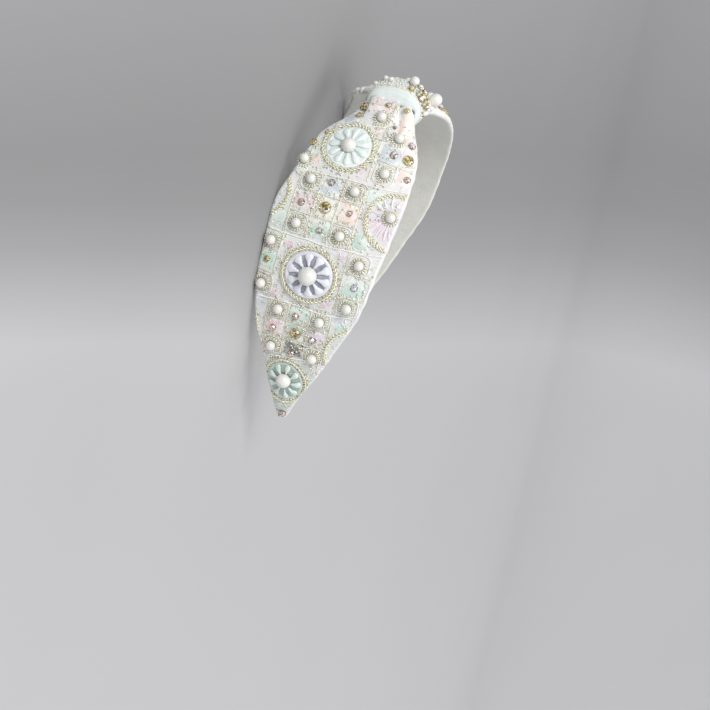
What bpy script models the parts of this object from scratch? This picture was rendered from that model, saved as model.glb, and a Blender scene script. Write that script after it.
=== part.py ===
"""Knotted fabric headband with pearl and stone embroidery, resting on the rear edge of its two side panels.

The band is worked out in the wearer's frame, X to the right, Y to the front and Z up over the crown. One empty
then lays everything down as the real band lies on a table. Lengths are in metres.
"""
import math

import bmesh
import bpy
from mathutils import Matrix, Vector

MM = 0.001

# Hoop line, on the band's outer face: a half circle over the head and two legs that curve in behind the ears
CROWN_RADIUS = 60 * MM
LEG_RADIUS = 130 * MM
LEG_ANGLE = math.radians(30)

# Padded fabric band
BAND_HALF_WIDTH = 23.9 * MM
BAND_THICKNESS = 3.2 * MM
EDGE_THICKNESS = 2.0 * MM
BAND_BOW = 1.4 * MM
STATION_STEP = 7.0 * MM
FACES_ACROSS = 12
KNOT_CROWDING = 0.5

# Gathers on both sides of the knot
NECK_LIFT = 6.0 * MM
DOME_POWER = 2.4
CREASE_REACH = 30 * MM
CREASE_DEPTH = 1.4 * MM
CREASE_WIDTH = 0.13

# Knot wrap round the gathered neck
KNOT_HALF_WIDTH = 7.5 * MM
KNOT_SIDE_WALL = 1.8 * MM
KNOT_TOP_WALL = 4.8 * MM
KNOT_BOTTOM_WALL = 1.8 * MM
KNOT_STEPS = 32
KNOT_SECTION_FACES = 9
KNOT_FULLNESS = 0.55
HOLE_SLACK = 1.1
HOLE_SQUARENESS = 4
LOOP_SQUARENESS = 2.3

# Embroidered squares, which set the places of every flower, pearl and stone
SQUARES_ACROSS = 5.5
SQUARE = 2 * BAND_HALF_WIDTH / SQUARES_ACROSS
MIDDLE_SHARE = 0.527
MIDDLE_SHIFT = -2.8 * MM

# Pearls, flowers and stones
PEARL_RADIUS = 1.9 * MM
PEARL_SIDES = 10
DOME_SIDES = 12
CORD_RADIUS = 0.55 * MM
CORD_POINTS = 24
PETALS = 10
PETAL_THICKNESS = 1.3 * MM
PETAL_NOTCH = 0.12
PETAL_CREST = 0.93
SEAT_DROP = 0.35
SEAT_MARGIN = 1.08
DOME_CUT = 0.25
STONE_RADIUS = 2.4 * MM
STONE_HEIGHT = 2.2 * MM
STONE_SIDES = 8
CUP_SHARE = 0.55
CUP_FOOT = 0.8
TABLE_INSET = 0.4

GAP = 0.3 * MM
DOME_GAP = 0.66 * MM
FACING_STEP = 1.0 * MM
FACING_ANGLE = 0.05

# Outline of one half of the band. along is a share of the half length from the knot to the tip, half_width and
# centre are shares of BAND_HALF_WIDTH, centre being how far the middle of the band stands to the front, and lift
# is the share of NECK_LIFT by which the gathers raise the fabric.
OUTLINE = [
    # along, half_width, centre, lift
    (0.000, 0.290, 0.195, 0.90),
    (0.045, 0.330, 0.190, 1.05),
    (0.075, 0.470, 0.180, 1.12),
    (0.110, 0.600, 0.170, 0.95),
    (0.165, 0.790, 0.130, 0.55),
    (0.210, 0.870, 0.115, 0.28),
    (0.300, 0.950, 0.070, 0.04),
    (0.380, 1.000, 0.000, 0.00),
    (0.460, 0.962, -0.013, 0.00),
    (0.600, 0.880, -0.049, 0.00),
    (0.700, 0.700, -0.085, 0.00),
    (0.800, 0.480, -0.088, 0.00),
    (0.900, 0.258, -0.122, 0.00),
    (0.970, 0.142, -0.142, 0.00),
    (1.000, 0.080, -0.138, 0.00),
]

# Creases that run out of the knot. at_knot and at_end are places across the band, from -1 at the rear edge to 1
# at the front edge, depth is a share of CREASE_DEPTH and reach a share of CREASE_REACH.
CREASES = [
    # at_knot, at_end, depth, reach
    (-0.95, -0.58, 1.0, 1.0),
    (-0.20, -0.16, 0.5, 0.7),
    (0.34, 0.62, 1.0, 1.0),
]

# Round flowers of one side. rows counts squares from the middle flower, towards the tip, and columns counts them
# across, towards the front. ring, petals and pearl are radii in squares.
FLOWERS = [
    # name, rows, columns, ring, petals, pearl
    ("top", -5.98, -0.10, 1.12, 0.92, 0.33),
    ("middle", 0.01, 0.04, 1.21, 1.00, 0.42),
    ("low", 5.72, -0.06, 0.98, 0.80, 0.34),
]

# Nine-patch squares of one side: a gold stone in the middle and a pearl at each corner. corners is the distance
# of the pearls from the middle across the band, in squares.
NINE_PATCHES = [
    # name, rows, columns, corners
    ("upper", -3.03, -0.12, 1.00),
    ("lower", 2.95, 0.05, 0.95),
]

# Single pearls of one side, placed in squares as the flowers are
SINGLE_PEARLS = [
    # name, rows, columns
    ("gather_rear", -7.62, 0.78),
    ("gather_front", -6.98, 1.80),
    ("shoulder_rear", -4.85, -1.72),
    ("shoulder_front", -5.22, 1.80),
    ("edge_front", -3.44, 2.70),
    ("side_rear_high", -1.00, -1.95),
    ("side_rear_low", 1.00, -1.90),
    ("side_front_high", -1.08, 2.05),
    ("side_front_low", 0.92, 2.02),
]

# The pearl on the knot is placed by its angle from the top to the front. The large pearl, which only the left side
# has, lies on the gathers beside the knot.
KNOT_PEARL_ANGLE = math.radians(22)
LARGE_PEARL_RADIUS = 2.6 * MM
LARGE_PEARL_REACH = 8.5 * MM
LARGE_PEARL_COLUMNS = 2.10

# Rows of OUTLINE whose rear edge meets the table
REST_HIGH_ALONG = 0.38
REST_LOW_ALONG = 0.60

QUARTER_LENGTH = CROWN_RADIUS * math.pi / 2
HALF_LENGTH = QUARTER_LENGTH + LEG_RADIUS * LEG_ANGLE
MIDDLE_ALONG = MIDDLE_SHARE * HALF_LENGTH


def outline(along, column):
    """A smooth reading of one column of OUTLINE at a share of the half length."""
    along = min(max(along, 0.0), 1.0)
    last = len(OUTLINE) - 2
    index = max(i for i in range(last + 1) if OUTLINE[i][0] <= along)
    rows = [OUTLINE[min(max(index + step, 0), last + 1)] for step in (-1, 0, 1, 2)]
    span = rows[2][0] - rows[1][0]
    share = (along - rows[1][0]) / span
    slope_in = (rows[2][column] - rows[0][column]) / (rows[2][0] - rows[0][0])
    slope_out = (rows[3][column] - rows[1][column]) / (rows[3][0] - rows[1][0])
    square, cube = share ** 2, share ** 3
    return ((2 * cube - 3 * square + 1) * rows[1][column] + (cube - 2 * square + share) * span * slope_in
            + (3 * square - 2 * cube) * rows[2][column] + (cube - square) * span * slope_out)


def half_width(length):
    return BAND_HALF_WIDTH * outline(abs(length) / HALF_LENGTH, 1)


def centre(length):
    return BAND_HALF_WIDTH * outline(abs(length) / HALF_LENGTH, 2)


def hoop(length):
    """Point and outward direction of the hoop line, length being measured from the crown to the right."""
    side = -1 if length < 0 else 1
    distance = abs(length)
    if distance <= QUARTER_LENGTH:
        angle = distance / CROWN_RADIUS
        outward = Vector((side * math.sin(angle), 0, math.cos(angle)))
        return outward * CROWN_RADIUS, outward
    angle = (distance - QUARTER_LENGTH) / LEG_RADIUS
    outward = Vector((side * math.cos(angle), 0, -math.sin(angle)))
    leg_centre = Vector((side * (CROWN_RADIUS - LEG_RADIUS), 0, 0))
    return leg_centre + outward * LEG_RADIUS, outward


def smooth(share):
    share = min(max(share, 0.0), 1.0)
    return share * share * (3 - 2 * share)


def crease_depth(length, across):
    """How far the creases sink the gathered fabric at a place across the band, from -1 to 1."""
    depth = 0.0
    for at_knot, at_end, share, reach in CREASES:
        travel = abs(length) / (CREASE_REACH * reach)
        line = at_knot + (at_end - at_knot) * travel
        depth += share * (1 - smooth(travel)) * math.exp(-((across - line) / CREASE_WIDTH) ** 2)
    return depth * CREASE_DEPTH


def gather(length):
    """How far the fabric is gathered, from about 1 at the knot to 0 on the open panel."""
    return max(outline(abs(length) / HALF_LENGTH, 3), 0.0)


def open_bow(length):
    """How far the edges of the open panel drop below its padded middle."""
    return BAND_BOW * (1 - min(gather(length), 1.0))


def outer_height(length, across):
    dome = gather(length) * NECK_LIFT * (1 - abs(across) ** DOME_POWER)
    return dome - open_bow(length) * across ** 2 - crease_depth(length, across)


def inner_height(length, across):
    rise = BAND_THICKNESS - EDGE_THICKNESS - open_bow(length)
    return -BAND_THICKNESS + rise * across ** 2


def on_band(length, across, height):
    """Point at a length along the hoop, a distance across from the hoop's plane and a height over the fabric."""
    point, outward = hoop(length)
    place = (across - centre(length)) / half_width(length)
    place = min(max(place, -1.0), 1.0)
    return point + outward * (outer_height(length, place) + height) + Vector((0, across, 0))


def square_place(rows, columns):
    """Length from the crown and distance across of a place that is given in embroidered squares."""
    return MIDDLE_ALONG + rows * SQUARE, MIDDLE_SHIFT + columns * SQUARE


def remove_old_objects():
    for old in list(bpy.data.objects):
        bpy.data.objects.remove(old, do_unlink=True)


def plain_material(name, colour, roughness, metallic=0.0, coat=0.0):
    material = bpy.data.materials.new(name)
    material.use_nodes = True
    shader = material.node_tree.nodes["Principled BSDF"]
    shader.inputs["Base Color"].default_value = (*colour, 1.0)
    shader.inputs["Roughness"].default_value = roughness
    shader.inputs["Metallic"].default_value = metallic
    shader.inputs["Coat Weight"].default_value = coat
    material.diffuse_color = (*colour, 1.0)
    return material


def add_part(name, bm, material, collection, stand, smooth_angle=None):
    mesh = bpy.data.meshes.new(name)
    bm.to_mesh(mesh)
    bm.free()
    if smooth_angle is not None:
        mesh.shade_smooth()
        mesh.set_sharp_from_angle(angle=math.radians(smooth_angle))
    mesh.materials.append(material)
    part = bpy.data.objects.new(name, mesh)
    collection.objects.link(part)
    part.parent = stand
    return part


def band_grid(bm, height_at):
    """A flat grid bent into one face of the band."""
    stations = 2 * math.ceil(HALF_LENGTH / STATION_STEP)
    grid = bmesh.ops.create_grid(bm, x_segments=stations, y_segments=FACES_ACROSS, size=1.0)
    for vert in grid["verts"]:
        length, across = spread(vert.co.x) * HALF_LENGTH, vert.co.y
        point, outward = hoop(length)
        sideways = centre(length) + across * half_width(length)
        vert.co = point + outward * height_at(length, across) + Vector((0, sideways, 0))
    return grid["verts"]


def spread(share):
    """Moves the stations of the band closer together near the knot, where it is gathered."""
    distance = (1 - KNOT_CROWDING) * abs(share) + KNOT_CROWDING * abs(share) ** 2
    return math.copysign(distance, share)


def make_band(material, collection, stand):
    bm = bmesh.new()
    band_grid(bm, outer_height)
    inner = band_grid(bm, inner_height)
    inner_faces = {face for vert in inner for face in vert.link_faces}
    bmesh.ops.reverse_faces(bm, faces=list(inner_faces))
    rims = [edge for edge in bm.edges if edge.is_boundary]
    bmesh.ops.bridge_loops(bm, edges=rims)
    bmesh.ops.recalc_face_normals(bm, faces=bm.faces)
    return add_part("fabric_band", bm, material, collection, stand, smooth_angle=50)


def knot_hole():
    """Half width, half height and mid height of the hole that the gathered neck passes through."""
    neck_half = half_width(KNOT_HALF_WIDTH)
    inner_face = CROWN_RADIUS - BAND_THICKNESS
    sag = inner_face * (1 - math.cos(KNOT_HALF_WIDTH / CROWN_RADIUS))
    bottom = inner_face - sag - 2 * GAP
    top = CROWN_RADIUS + NECK_LIFT * gather(KNOT_HALF_WIDTH) + GAP
    return neck_half * HOLE_SLACK + GAP, (top - bottom) / 2, (top + bottom) / 2


def rounded_oval(angle, half_wide, half_high, power):
    """Point of a squared oval, angle being measured from its top."""
    sine, cosine = math.sin(angle), math.cos(angle)
    reach = (abs(sine) ** power + abs(cosine) ** power) ** (-1 / power)
    return half_wide * reach * sine, half_high * reach * cosine


def knot_wall(angle, wall):
    """Point of the knot loop over the crown, wall running from 0 on the hole to 1 on the outside."""
    hole_half, hole_high, hole_mid = knot_hole()
    inside = rounded_oval(angle, hole_half, hole_high, HOLE_SQUARENESS)
    high_wall = KNOT_TOP_WALL if math.cos(angle) > 0 else KNOT_BOTTOM_WALL
    outside = rounded_oval(angle, hole_half + KNOT_SIDE_WALL, hole_high + high_wall, LOOP_SQUARENESS)
    sideways = inside[0] + (outside[0] - inside[0]) * wall
    up = inside[1] + (outside[1] - inside[1]) * wall
    return Vector((0, centre(0) + sideways, hole_mid + up))


def make_knot(material, collection, stand):
    """A closed padded loop, turned round the hoop's line and then shaped to the neck inside it."""
    bm = bmesh.new()
    section = [(-1.0, 0.0)]
    for step in range(KNOT_SECTION_FACES):
        angle = math.pi * (1 - (step + 0.5) / KNOT_SECTION_FACES)
        section.append((math.cos(angle), abs(math.sin(angle)) ** KNOT_FULLNESS))
    section += [(1.0, 0.0), (0.0, 0.0)]
    verts = [bm.verts.new((wide, 0, 1 + high)) for wide, high in section]
    edges = [bm.edges.new((verts[i - 1], verts[i])) for i in range(len(verts))]
    bmesh.ops.spin(bm, geom=verts + edges, axis=(1, 0, 0), cent=(0, 0, 0), angle=2 * math.pi,
                   steps=KNOT_STEPS, use_merge=True, use_duplicate=False)
    bmesh.ops.remove_doubles(bm, verts=bm.verts, dist=1e-5)
    for vert in bm.verts:
        place = knot_wall(math.atan2(vert.co.y, vert.co.z), math.hypot(vert.co.y, vert.co.z) - 1)
        vert.co = place + Vector((vert.co.x * KNOT_HALF_WIDTH, 0, 0))
    bmesh.ops.recalc_face_normals(bm, faces=bm.faces)
    return add_part("knot_wrap", bm, material, collection, stand, smooth_angle=60)


def seat_on_band(bm, length, across):
    """Bends a piece that was made flat at the origin onto the fabric at one place."""
    for vert in bm.verts:
        vert.co = on_band(length + vert.co.x, across + vert.co.y, vert.co.z)


def stand_on_band(bm, length, across):
    """Turns a stiff piece that was made at the origin square to the fabric at one place, without bending it."""
    origin = on_band(length, across, 0)
    step = FACING_STEP
    along = on_band(length + step, across, 0) - on_band(length - step, across, 0)
    forward = on_band(length, across + step, 0) - on_band(length, across - step, 0)
    outward = along.cross(forward).normalized()
    forward = outward.cross(along).normalized()
    turn = Matrix((forward.cross(outward), forward, outward)).transposed().to_4x4()
    bmesh.ops.transform(bm, matrix=Matrix.Translation(origin) @ turn, verts=bm.verts)


def make_pearl(name, length, across, radius, material, collection, stand):
    bm = bmesh.new()
    bmesh.ops.create_uvsphere(bm, u_segments=PEARL_SIDES, v_segments=6, radius=radius)
    bmesh.ops.translate(bm, vec=(0, 0, radius + GAP), verts=bm.verts)
    stand_on_band(bm, length, across)
    return add_part(name, bm, material, collection, stand, smooth_angle=70)


def make_knot_pearl(name, material, collection, stand):
    """A pearl that sits on the knot, square to its padded wall."""
    ahead = knot_wall(KNOT_PEARL_ANGLE + FACING_ANGLE, 1) - knot_wall(KNOT_PEARL_ANGLE - FACING_ANGLE, 1)
    outward = Vector((0, -ahead.z, ahead.y)).normalized()
    bm = bmesh.new()
    bmesh.ops.create_uvsphere(bm, u_segments=PEARL_SIDES, v_segments=6, radius=PEARL_RADIUS)
    seat = knot_wall(KNOT_PEARL_ANGLE, 1) + outward * (PEARL_RADIUS + GAP)
    bmesh.ops.translate(bm, vec=seat, verts=bm.verts)
    return add_part(name, bm, material, collection, stand, smooth_angle=70)


def make_cord_ring(name, length, across, radius, material, collection, stand):
    """A round cord that follows the fabric, as a closed curve made into a mesh."""
    curve = bpy.data.curves.new(name + "_line", "CURVE")
    curve.dimensions = "3D"
    curve.bevel_depth = CORD_RADIUS
    curve.bevel_resolution = 1
    line = curve.splines.new("POLY")
    line.points.add(CORD_POINTS - 1)
    for index, point in enumerate(line.points):
        angle = 2 * math.pi * index / CORD_POINTS
        along, sideways = radius * math.cos(angle), radius * math.sin(angle)
        place = on_band(length + along, across + sideways, CORD_RADIUS + GAP)
        point.co = (*place, 1.0)
    line.use_cyclic_u = True
    holder = bpy.data.objects.new(name + "_line", curve)
    collection.objects.link(holder)
    bpy.context.view_layer.update()
    solid = bpy.data.meshes.new_from_object(holder.evaluated_get(bpy.context.evaluated_depsgraph_get()))
    bm = bmesh.new()
    bm.from_mesh(solid)
    bmesh.ops.remove_doubles(bm, verts=bm.verts, dist=1e-6)
    bpy.data.objects.remove(holder)
    bpy.data.meshes.remove(solid)
    return add_part(name, bm, material, collection, stand, smooth_angle=70)


def make_flower(name, length, across, radius, seat_radius, material, collection, stand):
    """A rosette of petals round a flat seat for the pearl, fused in one piece."""
    crest_radius = radius * PETAL_CREST
    bm = bmesh.new()
    bmesh.ops.create_cone(bm, cap_ends=True, segments=PETALS * 4, radius1=radius, radius2=crest_radius,
                          depth=PETAL_THICKNESS)
    bmesh.ops.translate(bm, vec=(0, 0, PETAL_THICKNESS / 2 + GAP), verts=bm.verts)
    bottom = min(bm.faces, key=lambda face: face.calc_center_median().z)
    seat = max(bm.faces, key=lambda face: face.calc_center_median().z)
    bmesh.ops.inset_individual(bm, faces=[seat], thickness=crest_radius - seat_radius, depth=0.0)
    bmesh.ops.translate(bm, vec=(0, 0, -SEAT_DROP * PETAL_THICKNESS), verts=list(seat.verts))
    bmesh.ops.inset_individual(bm, faces=[bottom], thickness=radius - seat_radius, depth=0.0)
    for vert in bm.verts:
        if math.hypot(vert.co.x, vert.co.y) > (seat_radius + crest_radius) / 2:
            notch = PETAL_NOTCH * (0.5 - 0.5 * math.cos(PETALS * math.atan2(vert.co.y, vert.co.x)))
            vert.co.x *= 1 - notch
            vert.co.y *= 1 - notch
    bmesh.ops.poke(bm, faces=[bottom, seat])
    seat_on_band(bm, length, across)
    return add_part(name, bm, material, collection, stand, smooth_angle=40)


def make_dome(name, length, across, radius, material, collection, stand):
    """A flat-backed pearl on the seat of its flower."""
    bm = bmesh.new()
    bmesh.ops.create_uvsphere(bm, u_segments=DOME_SIDES, v_segments=8, radius=radius)
    cut = bmesh.ops.bisect_plane(bm, geom=bm.verts[:] + bm.edges[:] + bm.faces[:], dist=1e-7,
                                 plane_co=(0, 0, -radius * DOME_CUT), plane_no=(0, 0, -1), clear_outer=True)
    rim = [item for item in cut["geom_cut"] if isinstance(item, bmesh.types.BMEdge)]
    bmesh.ops.contextual_create(bm, geom=rim)
    bmesh.ops.recalc_face_normals(bm, faces=bm.faces)
    seat = PETAL_THICKNESS * (1 - SEAT_DROP) + DOME_GAP
    bmesh.ops.translate(bm, vec=(0, 0, radius * DOME_CUT + seat), verts=bm.verts)
    stand_on_band(bm, length, across)
    return add_part(name, bm, material, collection, stand, smooth_angle=70)


def make_stone(name, length, across, radius, material, collection, stand):
    """A faceted stone and its metal cup in one piece: cup, girdle, crown facets and table."""
    bm = bmesh.new()
    cup_height = STONE_HEIGHT * CUP_SHARE
    bmesh.ops.create_cone(bm, cap_ends=True, segments=STONE_SIDES, radius1=radius * CUP_FOOT, radius2=radius,
                          depth=cup_height)
    top = max(bm.faces, key=lambda face: face.calc_center_median().z)
    bmesh.ops.inset_individual(bm, faces=[top], thickness=radius * TABLE_INSET, depth=0.0)
    bmesh.ops.translate(bm, vec=(0, 0, STONE_HEIGHT - cup_height), verts=list(top.verts))
    bmesh.ops.translate(bm, vec=(0, 0, cup_height / 2 + GAP), verts=bm.verts)
    stand_on_band(bm, length, across)
    return add_part(name, bm, material, collection, stand)


def lay_down(collection, stand):
    """Turns the band onto the rear edge of its panels and centres its box over the origin."""
    rear = []
    for along in (REST_LOW_ALONG, REST_HIGH_ALONG):
        length = along * HALF_LENGTH
        rear.append(Vector((centre(length) - half_width(length), hoop(length)[0].z)))
    lean = math.atan2(rear[0].x - rear[1].x, rear[1].y - rear[0].y)
    stand.matrix_world = Matrix.Rotation(math.pi / 2 - lean, 4, "X")
    bpy.context.view_layer.update()
    corners = [part.matrix_world @ vert.co for part in collection.objects if part.type == "MESH"
               for vert in part.data.vertices]
    low = Vector([min(corner[axis] for corner in corners) for axis in range(3)])
    high = Vector([max(corner[axis] for corner in corners) for axis in range(3)])
    middle = (low + high) / 2
    stand.matrix_world = Matrix.Translation((-middle.x, -middle.y, -low.z)) @ stand.matrix_world


def build():
    remove_old_objects()
    collection = bpy.data.collections.new("beaded_headband")
    bpy.context.scene.collection.children.link(collection)
    stand = bpy.data.objects.new("lying_on_rear_edge", None)
    collection.objects.link(stand)

    cotton = plain_material("embroidered_cotton", (0.86, 0.87, 0.82), 0.85)
    mint_cotton = plain_material("knot_cotton", (0.80, 0.88, 0.85), 0.85)
    pearl = plain_material("pearl", (0.90, 0.88, 0.82), 0.22, coat=0.6)
    petal = plain_material("petal", (0.70, 0.82, 0.78), 0.30)
    cord = plain_material("gilt_cord", (0.80, 0.74, 0.52), 0.45, metallic=0.4)
    stone = plain_material("set_stone", (0.75, 0.55, 0.20), 0.18, metallic=0.9)

    make_band(cotton, collection, stand)
    make_knot(mint_cotton, collection, stand)
    for side_name, side in (("right", 1), ("left", -1)):
        for name, rows, columns, ring, petals, dome in FLOWERS:
            length, across = square_place(rows, columns)
            length *= side
            label = f"{side_name}_{name}"
            make_cord_ring(f"{label}_cord", length, across, ring * SQUARE, cord, collection, stand)
            make_flower(f"{label}_petals", length, across, petals * SQUARE, dome * SQUARE * SEAT_MARGIN, petal,
                        collection, stand)
            make_dome(f"{label}_pearl", length, across, dome * SQUARE, pearl, collection, stand)
        for name, rows, columns, corners in NINE_PATCHES:
            length, across = square_place(rows, columns)
            make_stone(f"{side_name}_{name}_stone", length * side, across, STONE_RADIUS, stone, collection, stand)
            corner_names = ("high_rear", "high_front", "low_rear", "low_front")
            steps = ((-1, -1), (-1, 1), (1, -1), (1, 1))
            for corner_name, (down, forward) in zip(corner_names, steps):
                length, across = square_place(rows + down, columns + forward * corners)
                make_pearl(f"{side_name}_{name}_{corner_name}_pearl", length * side, across, PEARL_RADIUS, pearl,
                           collection, stand)
        for name, rows, columns in SINGLE_PEARLS:
            length, across = square_place(rows, columns)
            make_pearl(f"{side_name}_{name}_pearl", length * side, across, PEARL_RADIUS, pearl, collection, stand)
    make_knot_pearl("knot_pearl", pearl, collection, stand)
    across = square_place(0, LARGE_PEARL_COLUMNS)[1]
    make_pearl("left_large_pearl", -KNOT_HALF_WIDTH - LARGE_PEARL_REACH, across, LARGE_PEARL_RADIUS, pearl,
               collection, stand)
    lay_down(collection, stand)


build()
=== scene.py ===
# %% [markdown]
# A knotted fabric headband, embroidered with pearls, cut stones and round flowers, lying on the rear edge
# of its two side panels. The solid model gives the sizes. This lesson dresses it: padded cloth, satin
# patches, couched metal thread, pearls in coiled wire, petals and set stones, one short step at a time.

# %% Load the solid model
import functools
import math
import random

import bmesh
import bpy
from mathutils import Matrix, Vector, noise


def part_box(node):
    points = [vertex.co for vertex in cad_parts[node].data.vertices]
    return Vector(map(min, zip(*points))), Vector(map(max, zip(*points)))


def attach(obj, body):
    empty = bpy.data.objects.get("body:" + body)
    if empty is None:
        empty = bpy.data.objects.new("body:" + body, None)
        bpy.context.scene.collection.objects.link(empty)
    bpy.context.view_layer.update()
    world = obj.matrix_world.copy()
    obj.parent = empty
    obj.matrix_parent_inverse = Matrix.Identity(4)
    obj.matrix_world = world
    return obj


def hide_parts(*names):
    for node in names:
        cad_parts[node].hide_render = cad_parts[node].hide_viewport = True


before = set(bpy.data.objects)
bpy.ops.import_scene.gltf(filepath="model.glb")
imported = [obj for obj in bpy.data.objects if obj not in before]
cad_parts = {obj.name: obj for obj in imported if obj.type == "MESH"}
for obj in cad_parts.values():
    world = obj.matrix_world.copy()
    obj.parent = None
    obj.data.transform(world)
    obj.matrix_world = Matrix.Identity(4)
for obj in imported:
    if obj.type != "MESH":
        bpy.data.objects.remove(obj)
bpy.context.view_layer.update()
MM = 0.001
BODY = "root"
SIDES = {"right": 1, "left": -1}
print(len(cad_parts), "nodes")

# %% [markdown]
# Everything on the band is placed by two lengths: how far it lies along the hoop from the crown, and how
# far across it lies towards the front. The same few driving sizes as the solid model's turn them into a
# point. They could be measured back from the solids, but a formula gives smooth surfaces at any fineness.

# %% Driving sizes of the hoop and the band
CROWN_RADIUS = 60 * MM
LEG_RADIUS = 130 * MM
LEG_ANGLE = math.radians(30)
BAND_HALF_WIDTH = 23.9 * MM
BAND_THICKNESS = 3.2 * MM
EDGE_THICKNESS = 2.0 * MM
BAND_BOW = 1.4 * MM
NECK_LIFT = 6.0 * MM
DOME_POWER = 2.4
CREASE_REACH = 30 * MM
CREASE_DEPTH = 1.4 * MM
CREASE_WIDTH = 0.13
SQUARES_ACROSS = 5.5
SQUARE = 2 * BAND_HALF_WIDTH / SQUARES_ACROSS
GAP = 0.3 * MM
QUARTER_LENGTH = CROWN_RADIUS * math.pi / 2
HALF_LENGTH = QUARTER_LENGTH + LEG_RADIUS * LEG_ANGLE
MIDDLE_SHARE = 0.527
MIDDLE_ALONG = MIDDLE_SHARE * HALF_LENGTH
MIDDLE_SHIFT = -2.8 * MM

# Outline of one half: shares of the half length, of BAND_HALF_WIDTH twice, and of NECK_LIFT
OUTLINE = [
    # along, half_width, centre, lift
    (0.000, 0.290, 0.195, 0.90), (0.045, 0.330, 0.190, 1.05), (0.075, 0.470, 0.180, 1.12),
    (0.110, 0.600, 0.170, 0.95), (0.165, 0.790, 0.130, 0.55), (0.210, 0.870, 0.115, 0.28),
    (0.300, 0.950, 0.070, 0.04), (0.380, 1.000, 0.000, 0.00), (0.460, 0.962, -0.013, 0.00),
    (0.600, 0.880, -0.049, 0.00), (0.700, 0.700, -0.085, 0.00), (0.800, 0.480, -0.088, 0.00),
    (0.900, 0.258, -0.122, 0.00), (0.970, 0.142, -0.142, 0.00), (1.000, 0.080, -0.138, 0.00),
]
CREASES = [
    # at_knot, at_end, depth, reach
    (-0.95, -0.58, 1.0, 1.0), (-0.20, -0.16, 0.5, 0.7), (0.34, 0.62, 1.0, 1.0),
]
REST_HIGH_ALONG, REST_LOW_ALONG = 0.38, 0.60
NECK_TIGHT, NECK_FADE, NECK_SPREAD, NECK_SQUARENESS = 8 * MM, 9 * MM, 0.14, 9.0
print("half length", round(HALF_LENGTH / MM, 1), "mm, one embroidered square", round(SQUARE / MM, 2), "mm")


# %% Read the outline and bend the hoop
def outline(along, column):
    along = min(max(along, 0.0), 1.0)
    last = len(OUTLINE) - 2
    index = max(i for i in range(last + 1) if OUTLINE[i][0] <= along)
    rows = [OUTLINE[min(max(index + step, 0), last + 1)] for step in (-1, 0, 1, 2)]
    span = rows[2][0] - rows[1][0]
    share = (along - rows[1][0]) / span
    slope_in = (rows[2][column] - rows[0][column]) / (rows[2][0] - rows[0][0])
    slope_out = (rows[3][column] - rows[1][column]) / (rows[3][0] - rows[1][0])
    square, cube = share ** 2, share ** 3
    return ((2 * cube - 3 * square + 1) * rows[1][column] + (cube - 2 * square + share) * span * slope_in
            + (3 * square - 2 * cube) * rows[2][column] + (cube - square) * span * slope_out)


def hoop(length):
    side = -1 if length < 0 else 1
    distance = abs(length)
    if distance <= QUARTER_LENGTH:
        outward = Vector((side * math.sin(distance / CROWN_RADIUS), 0, math.cos(distance / CROWN_RADIUS)))
        return outward * CROWN_RADIUS, outward
    angle = (distance - QUARTER_LENGTH) / LEG_RADIUS
    outward = Vector((side * math.cos(angle), 0, -math.sin(angle)))
    return Vector((side * (CROWN_RADIUS - LEG_RADIUS), 0, 0)) + outward * LEG_RADIUS, outward


def neck(length):
    """Share by which the gathers are packed tight, 1 in the knot and 0 on the open panel."""
    return 1 - smooth((abs(length) - NECK_TIGHT) / NECK_FADE)


@functools.lru_cache(maxsize=None)
def station(length):
    """Everything that is the same all across the band at one length."""
    share = abs(length) / HALF_LENGTH
    point, outward = hoop(length)
    lift = max(outline(share, 3), 0.0)
    half = BAND_HALF_WIDTH * outline(share, 1) * (1 + NECK_SPREAD * neck(length))
    return point, outward, half, BAND_HALF_WIDTH * outline(share, 2), lift, BAND_BOW * (1 - min(lift, 1.0))


def smooth(share):
    share = min(max(share, 0.0), 1.0)
    return share * share * (3 - 2 * share)


print("widest", round(2 * station(REST_HIGH_ALONG * HALF_LENGTH)[2] / MM, 1), "mm across")

# %% [markdown]
# The real band is soft, so its cloth is not as even as the solid. Small folds run out of the knot, the
# stitched seams pull the padding down, and the open squares puff up between them. All of it is one relief
# of up to about two millimetres, added to the height that the solid model has.

# %% Height of the cloth
FOLDS = [
    # places in squares from the knot outwards, width in squares, depth in mm, step up on the rear side in mm
    ([(-9.90, 1.00), (-9.20, 1.18), (-8.39, 1.42), (-8.00, 1.53), (-7.52, 1.64), (-7.10, 1.84)],
     0.09, 2.10, 0.85),
    ([(-9.90, -0.10), (-9.00, -0.20), (-8.30, -0.12), (-7.64, -0.16), (-7.25, -0.40)], 0.09, 1.30, -0.40),
    ([(-9.90, 0.55), (-8.90, 0.45), (-8.30, 0.40)], 0.08, 0.45, 0.10),
    ([(-9.50, 1.80), (-8.60, 2.05), (-7.90, 2.30)], 0.08, 0.50, 0.15),
    ([(-9.50, -0.75), (-8.60, -0.95), (-7.80, -1.30)], 0.09, 0.50, -0.10),
]
SEAMS = [
    # places in squares across the band
    [(-6.98, -0.62), (-7.05, -0.39), (-7.12, 0.05), (-7.24, 0.71), (-7.32, 1.06), (-7.66, 1.51)],
    [(-4.18, -2.15), (-4.25, -2.00), (-4.45, -1.31), (-4.46, -0.66), (-4.54, 0.26), (-4.55, 1.16),
     (-4.61, 1.99), (-4.83, 3.05)],
    [(-1.53, -2.50), (-1.51, -2.31), (-1.45, -1.34), (-1.48, -0.39), (-1.44, 0.42), (-1.53, 1.24),
     (-1.58, 2.01), (-1.77, 3.00)],
    [(1.77, -2.20), (1.68, -1.45), (1.59, -0.88), (1.57, -0.20), (1.60, 0.60), (1.61, 1.15), (1.57, 1.60),
     (1.44, 2.30)],
    [(4.72, -1.10), (4.44, -0.30), (4.33, 0.46), (4.20, 1.00)],
]
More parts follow.
